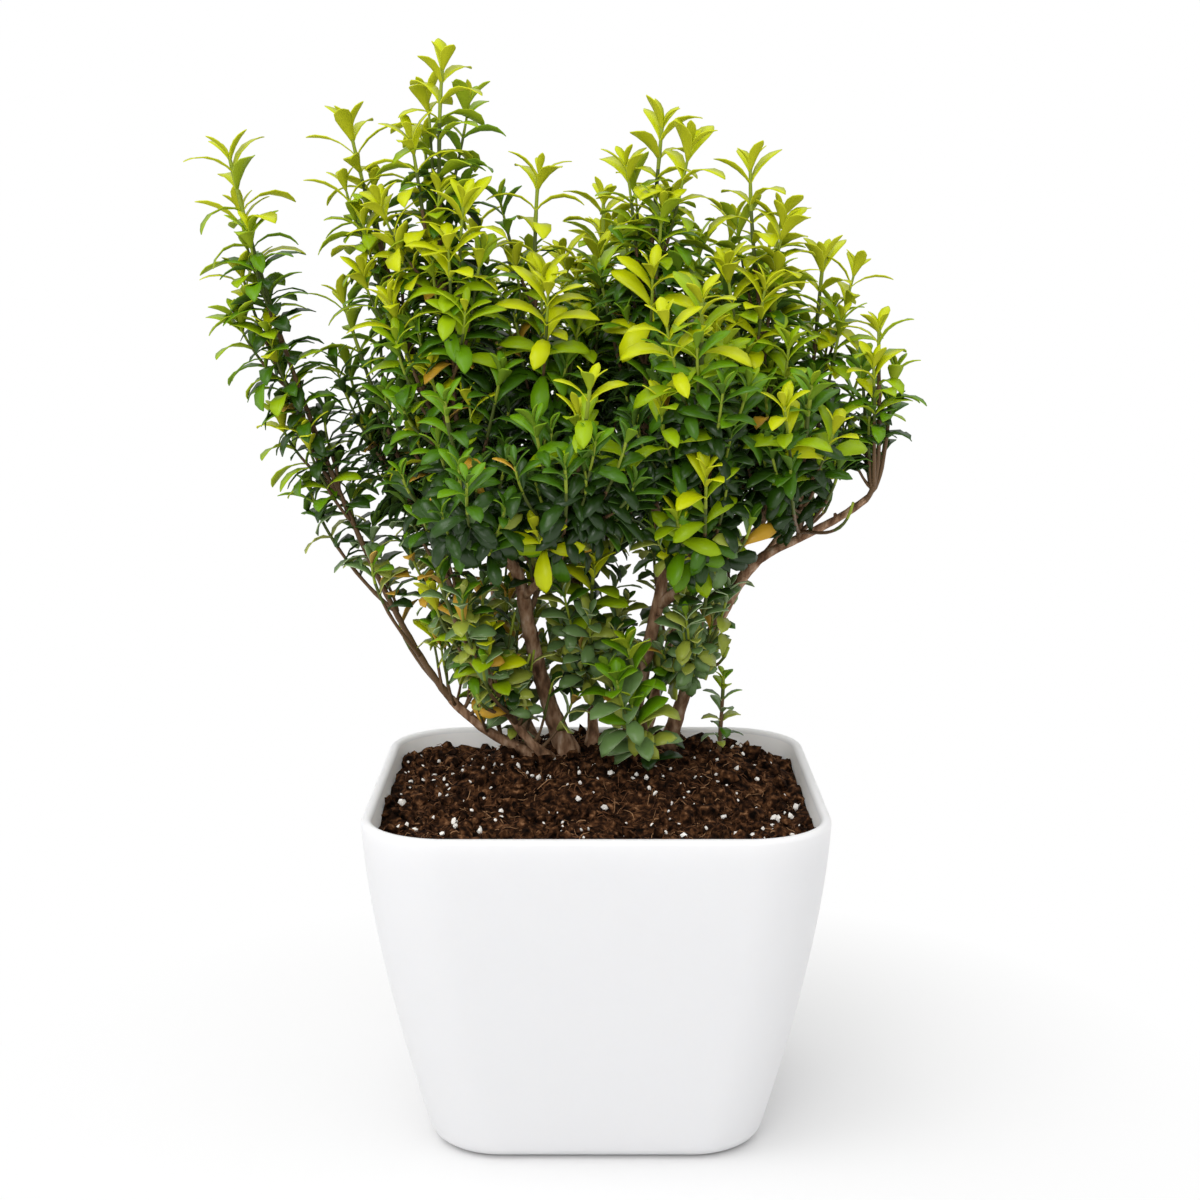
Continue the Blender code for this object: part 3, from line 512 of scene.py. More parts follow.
class Spaces:
    """Keeps each mass to its own part of the crown, off the wood, the soil and the pot."""

    def __init__(self, masses, limbs):
        self.leaders = [bezier(mass["curve"], np.linspace(0, 1, 33)) for mass in masses]
        t = np.linspace(0, 1, 81)
        wood = [np.column_stack((bezier(limb["curve"], t), limb_radius(limb, t))) for limb in limbs.values()]
        self.wood = np.concatenate(wood)

    def off_wood(self, points):
        return distances(points, self.wood[:, :3]) - self.wood[None, :, 3]

    def holds(self, which, shoot):
        points = bezier(shoot, np.linspace(0, 1, 15))
        gaps = [distances(points, leader).min(axis=1) for leader in self.leaders]
        for other, gap in enumerate(gaps):
            if other != which and np.any(gaps[which] > gap - SPACE_CLEARANCE):
                return False
        if self.off_wood(points).min() < LIMB_CLEARANCE:
            return False
        if points[:, 2].min() < SOIL_TOP_Z + SOIL_CLEARANCE:
            return False
        low = points[points[:, 2] < POT_HEIGHT + RIM_CLEARANCE]
        return not len(low) or np.abs(low[:, :2]).max() < RIM_INSIDE


def above_skirt(points):
    """Where the crown's underside, which rises outwards, lets leaves grow."""
    out = np.hypot(points[:, 0] - SKIRT_CENTRE[0], points[:, 1] - SKIRT_CENTRE[1])
    left = np.clip((-points[:, 0] - SKIRT_LEFT[0]) / SKIRT_LEFT[1], 0.0, 1.0)
    return points[:, 2] > np.interp(out, *SKIRT) - SKIRT_DROP * left


def emptiest(tries, tips, allowed):
    """Of some tried shoots, the allowed one whose tip is furthest from every other tip."""
    best, most = None, -1.0
    for shoot in tries:
        room = np.sqrt(((np.array(tips) - shoot[3])**2).sum(axis=1)).min()
        if room > most and allowed(shoot):
            best, most = shoot, room
    return best


def try_side_shoot(mass, hosts, dice):
    level = dice.uniform(SHOOT_LOWEST, SHOOT_HIGHEST)
    turn = dice.uniform(0.0, math.tau)
    reach = mass["reach"] * dice.uniform(*SHOOT_REACH) * min(1.0, 1.5 - level)
    return side_shoot(*hosts[0], level, turn, reach, SHOOT_RISE)


def try_fine_shoot(mass, hosts, dice):
    host = dice.choices(hosts, [length for _, length in hosts])[0]
    level = dice.uniform(SHOOT_LOWEST, 1.0)
    turn = dice.uniform(0.0, math.tau)
    spread = FINE_SPREAD_LOW if mass["low"] else FINE_SPREAD
    reach = max(FINE_LEAST_REACH, mass["reach"] * spread * dice.uniform(*FINE_REACH))
    return side_shoot(*host, level, turn, reach, dice.uniform(*FINE_RISE))


def plan_shoots(masses, counts, sides, tips, spaces, seed, try_shoot, skirted):
    """Shoots of all masses, one for each in turn, where the crown is emptiest; sides may carry them too."""
    dice = [random.Random(mass["seed"] + seed) for mass in masses]
    grown = [[] for _ in masses]
    for order in range(max(counts)):
        for which, mass in enumerate(masses):
            if order >= counts[which]:
                continue

            def allowed(shoot):
                if skirted and mass["root"] is not None and not above_skirt(shoot[2:]).all():
                    return False
                return spaces.holds(which, shoot)

            hosts = [(curve, curve_length(curve)) for curve in [mass["curve"]] + sides[which]]
            tries = [try_shoot(mass, hosts, dice[which]) for _ in range(CANDIDATES)]
            shoot = emptiest(tries, tips, allowed)
            if shoot is not None:
                grown[which].append(shoot)
                tips.append(shoot[3])
    return grown


def fine_count(mass):
    if mass["root"] is None:
        return SOIL_SHOOT_FINE
    if mass["low"]:
        return LOW_FINE
    return round(FINE_DENSITY * curve_length(mass["curve"]) * mass["reach"] ** 2)


def try_sprout(limb, dice):
    """A shoot that leaves a limb's side and turns up."""
    share = dice.uniform(*SPROUT_SHARES)
    out = level_way(dice.uniform(0.0, math.tau))
    root = bezier(limb["curve"], share)[0]
    tip = root + out * dice.uniform(*SPROUT_REACH) + UP * dice.uniform(*SPROUT_RISE)
    start = root + out * (limb_radius(limb, share) * 0.6)
    return rising(start, out + UP * 0.5, tip, UP + out * 0.3)


def add_sprouts(masses, limbs, fine, tips, spaces):
    """Adds sprouts to the finer shoots of the low masses."""
    def allowed(shoot):
        points = bezier(shoot, np.linspace(0.3, 1.0, 8))
        return spaces.off_wood(points).min() > SPROUT_CLEARANCE and np.abs(shoot[3][:2]).max() < RIM_INSIDE

    names = [mass["name"] for mass in masses]
    for name, stems, count in SPROUTS:
        which = names.index(name)
        dice = random.Random(masses[which]["seed"] + SPROUT_SEED + count)
        for _ in range(count):
            tries = [try_sprout(limbs[dice.choice(stems)], dice) for _ in range(CANDIDATES)]
            shoot = emptiest(tries, tips, allowed)
            if shoot is not None:
                fine[which].append(shoot)
                tips.append(shoot[3])


def shown_wood(masses, limbs):
    """Lines of the trunk and of the leaders' older stretches, and how much room before each is kept free."""
    shown = [(bezier(limbs["main_trunk"]["curve"], np.linspace(0.0, 1.0, 33)), TRUNK_VIEW)]
    for mass in masses:
        if mass["root"] is not None:
            shown.append((bezier(mass["curve"], np.linspace(0.0, LEADER_SHOWN, 17)), LEADER_VIEW))
    return shown


def hides_wood(points, shown):
    """Where leaves would stand right before a stretch of wood that the front view shows."""
    hidden = np.zeros(len(points), bool)
    for line, (half, depth) in shown:
        aside = np.abs(points[:, 0] - np.interp(points[:, 2], line[:, 2], line[:, 0]))
        before = np.interp(points[:, 2], line[:, 2], line[:, 1]) - points[:, 1]
        level = (points[:, 2] > line[0, 2]) & (points[:, 2] < line[-1, 2])
        hidden |= level & (aside < half) & (before > 0.0) & (before < depth)
    return hidden


# ---- materials


def add_node(tree, kind, inputs):
    """A shader node; each of its inputs is given a value or linked to an output."""
    node = tree.nodes.new("ShaderNode" + kind)
    for name, value in inputs.items():
        if isinstance(value, bpy.types.NodeSocket):
            tree.links.new(value, node.inputs[name])
        else:
            node.inputs[name].default_value = value
    return node


def new_finish(name, colour, roughness, specular):
    finish = bpy.data.materials.new(name)
    finish.use_nodes = True
    shader = finish.node_tree.nodes["Principled BSDF"]
    shader.inputs["Base Color"].default_value = (*colour, 1.0)
    shader.inputs["Roughness"].default_value = roughness
    shader.inputs["Specular IOR Level"].default_value = specular
    return finish, shader


def add_noise(tree, scale, detail, stretch=(1.0, 1.0, 1.0)):
    """Noise on object coordinates, stretched."""
    spots = add_node(tree, "TexCoord", {})
    mapping = add_node(tree, "Mapping", {"Vector": spots.outputs["Object"], "Scale": stretch})
    spots = mapping.outputs["Vector"]
    return add_node(tree, "TexNoise", {"Vector": spots, "Scale": scale, "Detail": detail}).outputs["Fac"]


def add_grain(tree, shader, grain, stretch=(1.0, 1.0, 1.0)):
    """Bumps the shader with a grain's noise, and returns that noise."""
    scale, detail, strength, depth = grain
    height = add_noise(tree, scale, detail, stretch)
    bump = add_node(tree, "Bump", {"Strength": strength, "Distance": depth, "Height": height})
    tree.links.new(bump.outputs["Normal"], shader.inputs["Normal"])
    return height


def add_ramp(tree, source, target, stops):
    """Colours along a texture's value; stops are (place, hex colour)."""
    ramp = add_node(tree, "ValToRGB", {"Fac": source})
    while len(ramp.color_ramp.elements) < len(stops):
        ramp.color_ramp.elements.new(0.5)
    for element, (position, code) in zip(ramp.color_ramp.elements, stops):
        element.position = position
        element.color = (*linear(code), 1.0)
    tree.links.new(ramp.outputs["Color"], target)


def add_range(tree, source, target, low, high):
    spread = add_node(tree, "MapRange", {"Value": source, "To Min": low, "To Max": high})
    tree.links.new(spread.outputs["Result"], target)


def grained(name, code, roughness, specular, grain):
    """A finish of one colour with a grain."""
    finish, shader = new_finish(name, linear(code), roughness, specular)
    add_grain(finish.node_tree, shader, grain)
    return finish


def leaf_finishes():
    """For each tint: upper face, underside, and margin, a paler colour for the leaf's edges that paints a
    highlight along its rim.
    """
    made = []
    for name, top, under, painted_edge_highlight, gloss in LEAF_TINTS:
        made.append(grained(f"leaf_{name}_upper", top, 0.32, gloss, LEAF_GRAIN))
        made.append(grained(f"leaf_{name}_under", under, 0.65, 0.06, LEAF_GRAIN))
        # margin: paler than the upper face, a painted highlight along the leaf's rim
        made.append(grained(f"leaf_{name}_margin", painted_edge_highlight, 0.50, 0.10, LEAF_GRAIN))
    return made


def bark_finish():
    finish, shader = new_finish("bark", linear("7a5a42"), 0.85, 0.2)
    plates = add_grain(finish.node_tree, shader, BARK_GRAIN, (1.0, 1.0, 0.35))
    add_ramp(finish.node_tree, plates, shader.inputs["Base Color"], BARK_COLOURS)
    add_range(finish.node_tree, plates, shader.inputs["Roughness"], 0.75, 0.95)
    return finish


def pot_finishes():
    """The pot's smooth outside, and its duller inside, whose paler, warmer colour is painted light against the
    shade within the pot and a painted warm bounce from the soil.
    """
    made = []
    for name, colour, smooth, rough in POT_FINISHES:
        finish, shader = new_finish(name, colour, smooth, 0.45)
        shader.inputs["Subsurface Weight"].default_value = 0.6
        shader.inputs["Subsurface Radius"].default_value = (1.0, 0.95, 0.9)
        shader.inputs["Subsurface Scale"].default_value = 0.014
        haze = add_noise(finish.node_tree, 14.0, 3.0)
        add_range(finish.node_tree, haze, shader.inputs["Roughness"], smooth, rough)
        add_grain(finish.node_tree, shader, POT_GRAIN)
        made.append(finish)
    return made


def soil_finish():
    finish, shader = new_finish("potting_soil", linear("3a2619"), 0.95, 0.05)
    crumbs = add_grain(finish.node_tree, shader, SOIL_GRAIN)
    add_ramp(finish.node_tree, crumbs, shader.inputs["Base Color"], SOIL_COLOURS)
    return finish


# ---- meshes


def add_piece(name, points, quads, triangles, finishes, slots=0, flat=False):
    """A mesh of quads and then triangles, with the slot of each face and whether it is flat."""
    mesh = bpy.data.meshes.new(name)
    corners = np.concatenate((np.ravel(quads), np.ravel(triangles))).astype(np.int32)
    sizes = np.repeat((4, 3), (len(quads), len(triangles))).astype(np.int32)
    mesh.vertices.add(len(points))
    mesh.vertices.foreach_set("co", np.asarray(points, np.float32).ravel())
    mesh.loops.add(len(corners))
    mesh.loops.foreach_set("vertex_index", corners)
    mesh.polygons.add(len(sizes))
    mesh.polygons.foreach_set("loop_start", (np.cumsum(sizes) - sizes).astype(np.int32))
    mesh.polygons.foreach_set("loop_total", sizes)
    for finish in finishes:
        mesh.materials.append(finish)
    mesh.polygons.foreach_set("material_index", np.broadcast_to(slots, len(sizes)).astype(np.int32))
    mesh.update(calc_edges=True)
    mesh.validate()
    mesh.polygons.foreach_set("use_smooth", ~np.broadcast_to(flat, len(sizes)))
    made = bpy.data.objects.new(name, mesh)
    bpy.context.scene.collection.objects.link(made)
    return made


def stand_for(piece, node):
    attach(piece, "root")
    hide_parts(node)


def closed(rings, sides):
    """A tube of rings, closed at both ends round a middle point: its points, quads and triangles."""
    count = len(rings) // sides
    k = np.arange(sides)
    turn = (k + 1) % sides
    quads = [np.column_stack((r * sides + k, r * sides + turn, (r + 1) * sides + turn, (r + 1) * sides + k))
             for r in range(count - 1)]
    last = (count - 1) * sides
    start, end = rings[:sides].mean(axis=0), rings[-sides:].mean(axis=0)
    low = np.column_stack((turn, k, np.full(sides, len(rings))))
    high = np.column_stack((last + k, last + turn, np.full(sides, len(rings) + 1)))
    return np.concatenate((rings, [start], [end])), np.concatenate(quads), np.concatenate((low, high))


def tube(line, radii, sides, relief=None):
    """A closed tube along a line of points; relief(ring, turns) scales the radius."""
    line = np.asarray(line)
    tangents = unit(np.gradient(line, axis=0))
    side = across(tangents[0])[0]
    turns = np.arange(sides) * math.tau / sides
    rings = []
    for k, (point, tangent, radius) in enumerate(zip(line, tangents, radii)):
        side = unit(side - tangent * (side @ tangent))
        other = np.cross(tangent, side)
        sizes = np.full(sides, radius) if relief is None else radius * relief(k, turns)
        ways = np.outer(np.cos(turns), side) + np.outer(np.sin(turns), other)
        rings.append(point + ways * sizes[:, None])
    return closed(np.concatenate(rings), sides)


class Gathered:
    """Collects many small meshes, to join them into one piece."""

    def __init__(self):
        self.points, self.quads, self.triangles, self.quad_slots, self.triangle_slots = [], [], [], [], []
        self.count = 0

    def add(self, points, quads, triangles, quad_slots=0, triangle_slots=0):
        self.points.append(points)
        self.quads.append(quads + self.count)
        self.triangles.append(triangles + self.count)
        self.quad_slots.append(np.broadcast_to(quad_slots, len(quads)))
        self.triangle_slots.append(np.broadcast_to(triangle_slots, len(triangles)))
        self.count += len(points)

    def piece(self, name, finishes, flat=False):
        parts = [np.concatenate(part) for part in (self.points, self.quads, self.triangles)]
        slots = np.concatenate(self.quad_slots + self.triangle_slots)
        return add_piece(name, *parts, finishes, slots, flat)


# ---- leaves


class LeafPattern:
    """Stations along a blade, and the quads over them: six points a station, three above and three below."""

    def __init__(self, stations):
        self.stations = np.array(stations)
        self.outline = np.interp(self.stations, *LEAF_OUTLINE)
        quads, kinds = [], []
        end = 6 * (len(stations) - 1)
        for a in range(0, end, 6):
            b = a + 6
            quads += [(a, b, b + 1, a + 1), (a + 1, b + 1, b + 2, a + 2)]
            quads += [(a + 3, a + 4, b + 4, b + 3), (a + 4, a + 5, b + 5, b + 4)]
            quads += [(a, a + 3, b + 3, b), (a + 2, b + 2, b + 5, a + 5)]
            # upper face, underside, and the edge walls, which take the margin colour, a painted highlight
            kinds += [0, 0, 1, 1, 2, 2]
        quads += [(0, 1, 4, 3), (1, 2, 5, 4)]
        quads += [(end, end + 3, end + 4, end + 1), (end + 1, end + 4, end + 5, end + 2)]
        self.quads = np.array(quads)
        self.kinds = np.array(kinds + [2] * 4)


FINE_LEAF = LeafPattern((0.0, 0.16, 0.38, 0.60, 0.80, 0.93, 1.0))
PLAIN_LEAF = LeafPattern((0.0, 0.28, 0.60, 0.86, 1.0))


def run_so_far(slopes):
    """Sums of each row up to each place, by the trapezium rule."""
    sums = np.cumsum((slopes[:, 1:] + slopes[:, :-1]) / 2, 1)
    return np.concatenate((np.zeros((len(slopes), 1)), sums), 1) / BEND_STEPS


def blade_points(pattern, leaves):
    """Points of all leaves at once. Each bends back along its length and is folded along its midrib."""
    root, along, side, normal, length, width, bend, fold = leaves
    s = np.repeat(pattern.stations, 6)[None, :]
    reach = np.tile((-1.0, 0.0, 1.0, -1.0, 0.0, 1.0), len(pattern.stations))[None, :]
    level = np.tile((0.5, 0.5, 0.5, -0.5, -0.5, -0.5), len(pattern.stations))[None, :]
    half = np.repeat(pattern.outline, 6)[None, :] * width[:, None] / 2
    angle = bend[:, None] * s
    turned = bend[:, None] * np.linspace(0, 1, BEND_STEPS + 1)[None, :]
    at = np.rint(s[0] * BEND_STEPS).astype(int)
    lift = level * LEAF_THICKNESS + np.abs(reach) * half * np.tan(fold)[:, None] * (1.0 - FOLD_EASE * s)
    out = run_so_far(np.cos(turned))[:, at] * length[:, None] + np.sin(angle) * lift
    rise = -run_so_far(np.sin(turned))[:, at] * length[:, None] + np.cos(angle) * lift
    return (root[:, None, :] + along[:, None, :] * out[..., None] + normal[:, None, :] * rise[..., None]
            + side[:, None, :] * (reach * half)[..., None])


def openness(tips):
    """For each tip, 1 in the open and 0 with many tips outwards of it."""
    tips = np.array(tips)
    outward = unit(tips - np.array(CROWN_CENTRE))
    gaps = tips[None, :, :] - tips[:, None, :]
    ahead = (gaps * outward[:, None, :]).sum(axis=2)
    aside = np.sqrt(np.maximum((gaps**2).sum(axis=2) - ahead**2, 0.0))
    shading = (aside < OPEN_RADIUS) & (ahead > OPEN_AHEAD)
    return np.clip(1.0 - shading.sum(axis=1) / OPEN_TIPS, 0.0, 1.0)


def vigour(height, free, mass, dice):
    """How strongly a shoot grows and how bright it is, from 0 to 1, by its tip's height and openness."""
    if mass["root"] is None:
        return SOIL_SHOOT_VIGOUR
    free *= between((LOW_VIGOUR, 1.0), passed(height, FULL_VIGOUR_Z))
    if BRIGHT_RANGE[0] < free < BRIGHT_RANGE[1] and dice.random() < BRIGHT_SHARE:
        return BRIGHT_LOW
    return free, free


def pair_places(length, bare, dice, size, free, spacing):
    """Distances from a shoot's tip at which its pairs of leaves stand, and the length of its young end."""
    young = between(YOUNG_LENGTH, free * dice.uniform(*YOUNG_SPREAD))
    places = list(FIRST_PAIRS)
    while places[-1] < young:
        places.append(places[-1] + YOUNG_SPACING * dice.uniform(*YOUNG_SPACING_SPREAD) * size)
    while places[-1] < length * (1.0 - bare):
        places.append(places[-1] + spacing * dice.uniform(*OLD_SPACING_SPREAD) * size)
    return [d for d in places if d < length * (1.0 - bare)], young


def leaf_age(start, d, young, dice):
    age = start + YOUNG_AGEING * min(1.0, d / young) + stray(dice, LEAF_AGE_STRAY)
    for far, over in OLD_AGEING:
        age += far * (1.0 - math.exp(-max(0.0, d - young) / over))
    return age


def leaf_tint(age, low, point, dice):
    tint = int(min(0.999, max(0.0, age)) * AGES)
    if age > GREY_AGE and dice.random() < low * LOW_TINT_SHARE:
        tint = OLIVE if dice.random() < OLIVE_SHARE else SAGE
    left, right, bottom, top = OCHRE_ZONE
    ochre = OCHRE_ZONE_SHARE if left < point[0] < right and bottom < point[2] < top else OCHRE_SHARE
    turned = dice.random() < ochre and tint >= YOUNG_TINTS
    return OCHRE if turned else tint


def leaf_length(longest, d, young, dice):
    tip, grown = TIP_LEAF
    length = longest * min(1.0, tip + (1.0 - tip) * (d / grown) ** 0.6) * dice.uniform(*SIZE_SPREAD)
    if d > young:
        old, over = OLD_LEAF
        length *= old + (1.0 - old) * math.exp((young - d) / over)
    return length


def grow_leaves(curve, bare, mass, free, dice):
    """Leaves of one shoot: root, along, side, normal, length, width, bend, fold, tint, whether young."""
    length = curve_length(curve)
    free, bright = vigour(curve[3][2], free, mass, dice)
    if mass["root"] is None:
        size, spacing, shrink = mass["size"] * SOIL_SHOOT_SIZE, SOIL_SHOOT_SPACING, -SOIL_SHOOT_LOW_LEAF
    else:
        size, spacing, shrink = mass["size"] ** MASS_SIZE_POWER, OLD_SPACING, LOW_LEAF
    longest = between(LEAF_SIZES, free) * size
    places, young = pair_places(length, bare, dice, size, free, spacing)
    start = SHADE_AGE * (1.0 - bright) - FRESH_AGE + stray(dice, SHOOT_AGE_STRAY)
    turn = dice.uniform(0.0, math.tau)
    rows = []
    for d in places:
        point = bezier(curve, 1.0 - d / length)[0]
        tangent = bezier_direction(curve, 1.0 - d / length)[0]
        low = passed(point[2], LOW_LEAVES_Z)
        if d > young and mass["root"] is not None and dice.random() < LEAFLESS + LEAFLESS_LOW * low:
            continue
        one, two = across(tangent)
        turn += math.pi / 2 + stray(dice, PAIR_STRAY)
        opened = min(1.0, d / LEAF_OPENED)
        far = min(1.0, d / LEAF_FAR)
        for side_turn in (turn, turn + math.pi):
            angle = side_turn + stray(dice, TURN_STRAY)
            outward = one * math.cos(angle) + two * math.sin(angle)
            lean = math.radians(LEAF_LEAN[0] + LEAF_LEAN[1] * opened ** 0.7 + LEAF_LEAN[2] * far)
            lean += stray(dice, LEAN_STRAY)
            bend = math.radians(LEAF_BEND[0] + LEAF_BEND[1] * opened ** 0.6) * dice.uniform(*BEND_SPREAD)
            long = leaf_length(longest, d, young, dice) * (1.0 - shrink * low)
            tint = leaf_tint(leaf_age(start, d, young, dice), low, point, dice)
            along = tangent * math.cos(lean) + outward * math.sin(lean)
            normal = tangent * math.sin(lean) - outward * math.cos(lean)
            twist = stray(dice, TWIST_STRAY)
            side = np.cross(along, normal) * math.cos(twist) + normal * math.sin(twist)
            normal = unit(np.cross(side, along))
            wide = long * between(LEAF_WIDTH, low) * dice.uniform(*SIZE_SPREAD)
            fold = math.radians(dice.uniform(*LEAF_FOLD))
            rows.append((point, along, side, normal, long, wide, bend, fold, tint, tint < YOUNG_TINTS))
    return rows


def leaves_piece(name, rows, finishes, spaces, shown, skirted, cad_box):
    """Joins the leaves of one mass, without those that would cut or hide wood or cut the soil or the pot."""
    low_corner, high_corner = [np.array(corner) for corner in cad_box]
    spare = (high_corner - low_corner) * BOX_SHARE + BOX_SPARE
    *shapes, tints, young = [np.array(column) for column in zip(*rows)]
    points, quads, slots, flat = [], [], [], []
    count = 0
    for pattern, chosen in ((FINE_LEAF, young), (PLAIN_LEAF, ~young)):
        blades = blade_points(pattern, [shape[chosen] for shape in shapes])
        midribs = blades[:, 7::6, :]
        off_wood = spaces.off_wood(midribs.reshape(-1, 3)).min(axis=1).reshape(midribs.shape[:2]).min(axis=1)
        at_rim = np.abs(blades[..., :2]).max(axis=2) > RIM_INSIDE
        at_rim &= blades[..., 2] < POT_HEIGHT + RIM_CLEARANCE
        kept = (off_wood > LEAF_CLEARANCE) & ~at_rim.any(axis=1) & ~hides_wood(midribs.mean(axis=1), shown)
        kept &= blades[..., 2].min(axis=1) > SOIL_TOP_Z + SOIL_CLEARANCE
        kept &= ((blades > low_corner - spare) & (blades < high_corner + spare)).all(axis=(1, 2))
        if skirted:
            kept &= above_skirt(midribs.mean(axis=1))
        blades = blades[kept]
        first = count + np.arange(len(blades))[:, None, None] * blades.shape[1]
        points.append(blades.reshape(-1, 3))
        quads.append((pattern.quads[None] + first).reshape(-1, 4))
        slots.append((tints[chosen][kept][:, None] * 3 + pattern.kinds[None, :]).ravel())
        flat.append(np.tile(pattern.kinds == 2, len(blades)))
        count += len(points[-1])
    points, quads, slots, flat = [np.concatenate(part) for part in (points, quads, slots, flat)]
    return add_piece(name, points, quads, [], finishes, slots, flat)


# ---- twigs and limbs


def add_twig(gathered, curve, root, base, order):
    """A twig with its own taper: brown at its foot, green above."""
    tip, woody = TWIG_TIPS[order], TWIG_WOODY[order]
    line = bezier(curve, np.linspace(0, 1, max(5, round(curve_length(curve) / TWIG_STEP))))
    if root is not None:
        line = np.concatenate(([root], line))
    share = np.linspace(0, 1, len(line))
    flare, flare_reach = TWIG_FLARE
    radii = tip + (base - tip) * ((1.0 - flare) * (1 - share) + flare * np.exp(-share / flare_reach))
    height, swing = TWIG_NODES
    nodes = 1.0 + height * np.sin(share * len(line) * swing) * (share > 0.05)
    slots = np.where(share[:-1] < woody, 2, np.where(share[:-1] < 0.5 + woody / 2, 1, 0))
    slots = np.repeat(slots, TWIG_SIDES[order])
    end_slots = np.repeat((slots[0], slots[-1]), TWIG_SIDES[order])
    gathered.add(*tube(line, radii * nodes, TWIG_SIDES[order]), slots, end_slots)


def build_limb(name, limb, finish, dice):
    """A limb with ridged, knobbly bark and the stubs of lost twigs."""
    length = curve_length(limb["curve"])
    t = np.linspace(0, 1, round(length / LIMB_STEP))
    line = bezier(limb["curve"], t)
    radii = limb_radius(limb, t)
    if limb["root"] is None:
        line[0] -= UP * FOOT_DEPTH
    else:
        line = np.concatenate(([limb["root"]], line))
        radii = np.concatenate(([radii[0] * 0.9], radii))
    seed = Vector([dice.uniform(0, 9) for _ in range(3)])

    def relief(ring, turns):
        height, swing = KNOBS
        knob = height * max(0.0, math.sin(ring * swing + seed.x)) ** 3
        sizes = []
        for turn in turns:
            spot = Vector((math.cos(turn) * BARK_GIRTH, math.sin(turn) * BARK_GIRTH, ring * BARK_RUN)) + seed
            ridge = sum(strong * noise.noise(spot * fine) for fine, strong in BARK_NOISE)
            sizes.append(1.0 + BARK_RELIEF * ridge + knob)
        return np.array(sizes)

    gathered = Gathered()
    gathered.add(*tube(line, radii, LIMB_SIDES, relief))
    for _ in range(int(length / STUB_SPACING)):
        share = dice.uniform(*STUB_SHARES)
        out = unit(np.array([dice.uniform(-1, 1), dice.uniform(-1, 1), dice.uniform(0.1, 0.7)]))
        start = bezier(limb["curve"], share)[0]
        radius = float(limb_radius(limb, share))
        thick = dice.uniform(*STUB_RADII)
        line = [start + out * (radius * k) for k in (0.3, 0.9, 1.2, 1.35 + dice.uniform(0.1, 0.6))]
        gathered.add(*tube(line, [thick * 1.5, thick * 1.35, thick, thick * 0.7], STUB_SIDES))
    stand_for(gathered.piece("bark_" + name, [finish]), name)


# ---- pot and soil


def side_half(z):
    share = min(max(z / POT_HEIGHT, 0.0), 1.0)
    return FOOT_HALF + (RIM_HALF - FOOT_HALF) * (1.0 - (1.0 - share) ** SIDE_BULGE)


def side_corner(z):
    return FOOT_CORNER + (RIM_CORNER - FOOT_CORNER) * z / POT_HEIGHT


def rounded_square(half, corner, z, corner_points, side_points):
    """Points of a square with round corners, and side_points on each side between them."""
    points = []
    for quarter in range(4):
        centre = level_way(math.pi / 2 * (quarter + 0.5)) * (half - corner) * math.sqrt(2.0)
        for step in range(corner_points):
            angle = math.pi / 2 * (quarter + step / (corner_points - 1))
            points.append(centre + np.array((math.cos(angle) * corner, math.sin(angle) * corner, z)))
        along = np.array((-math.sin(angle), math.cos(angle), 0.0)) * 2.0 * (half - corner)
        points += [points[-1] + along * (step + 1) / (side_points + 1) for step in range(side_points)]
    return np.array(points)


def side_ring(z, inset, counts):
    """A ring on the pot's side, or inset from it."""
    return rounded_square(side_half(z) - inset, side_corner(z) - inset, z, *counts)


def build_pot(finishes):
    lip = WALL / 2
    rings = []
    for step in range(FOOT_RINGS + 1):
        angle = math.pi / 2 * step / FOOT_RINGS
        z, inset = FOOT_EDGE * (1 - math.cos(angle)), FOOT_EDGE * (1 - math.sin(angle))
        rings.append(side_ring(z, inset, POT_POINTS))
    for step in range(1, SIDE_RINGS + 1):
        z = FOOT_EDGE + (POT_HEIGHT - lip - FOOT_EDGE) * step / SIDE_RINGS
        rings.append(side_ring(z, 0.0, POT_POINTS))
    for step in range(1, RIM_RINGS + 1):
        angle = math.pi * step / RIM_RINGS
        away = lip - lip * math.cos(angle)
        z = POT_HEIGHT - lip + lip * math.sin(angle)
        rings.append(rounded_square(RIM_HALF - away, RIM_CORNER - away, z, *POT_POINTS))
    outer = len(rings) - 1
    for step in range(1, INNER_RINGS + 1):
        z = POT_HEIGHT - lip + (FLOOR - POT_HEIGHT + lip) * step / INNER_RINGS
        rings.append(side_ring(z, WALL, POT_POINTS))
    sides = len(rings[0])
    bands = np.append(np.arange(len(rings) - 1), (0, len(rings) - 1))  # the walls' bands, underside and floor
    # the inner wall and floor take the inside finish, with its painted light
    slots = np.repeat(bands >= outer, sides)
    stand_for(add_piece("pot_shell", *closed(np.concatenate(rings), sides), finishes, slots), "pot")


def heap_share(x, y):
    dx = x - HEAP_CENTRE[0]
    dy = y - HEAP_CENTRE[1]
    inner = math.hypot(dx / HEAP_TOP_REACH[0], dy / HEAP_TOP_REACH[1])
    outer = math.hypot(dx / HEAP_FOOT_REACH[0], dy / HEAP_FOOT_REACH[1])
    if inner <= 1.0:
        return 1.0
    if outer >= 1.0:
        return 0.0
    share = (1.0 - outer) / (1.0 - outer / inner)
    return share * share * (3.0 - 2.0 * share)


def soil_height(x, y):
    """The part's heap, with bumps and clumps."""
    z = SOIL_EDGE_Z - SOIL_DROP + (SOIL_TOP_Z - SOIL_EDGE_Z) * heap_share(x, y)
    for height, per_metre in SOIL_BUMPS:
        z += height * noise.noise(Vector((x * per_metre, y * per_metre, height * 9000.0)))
    return z


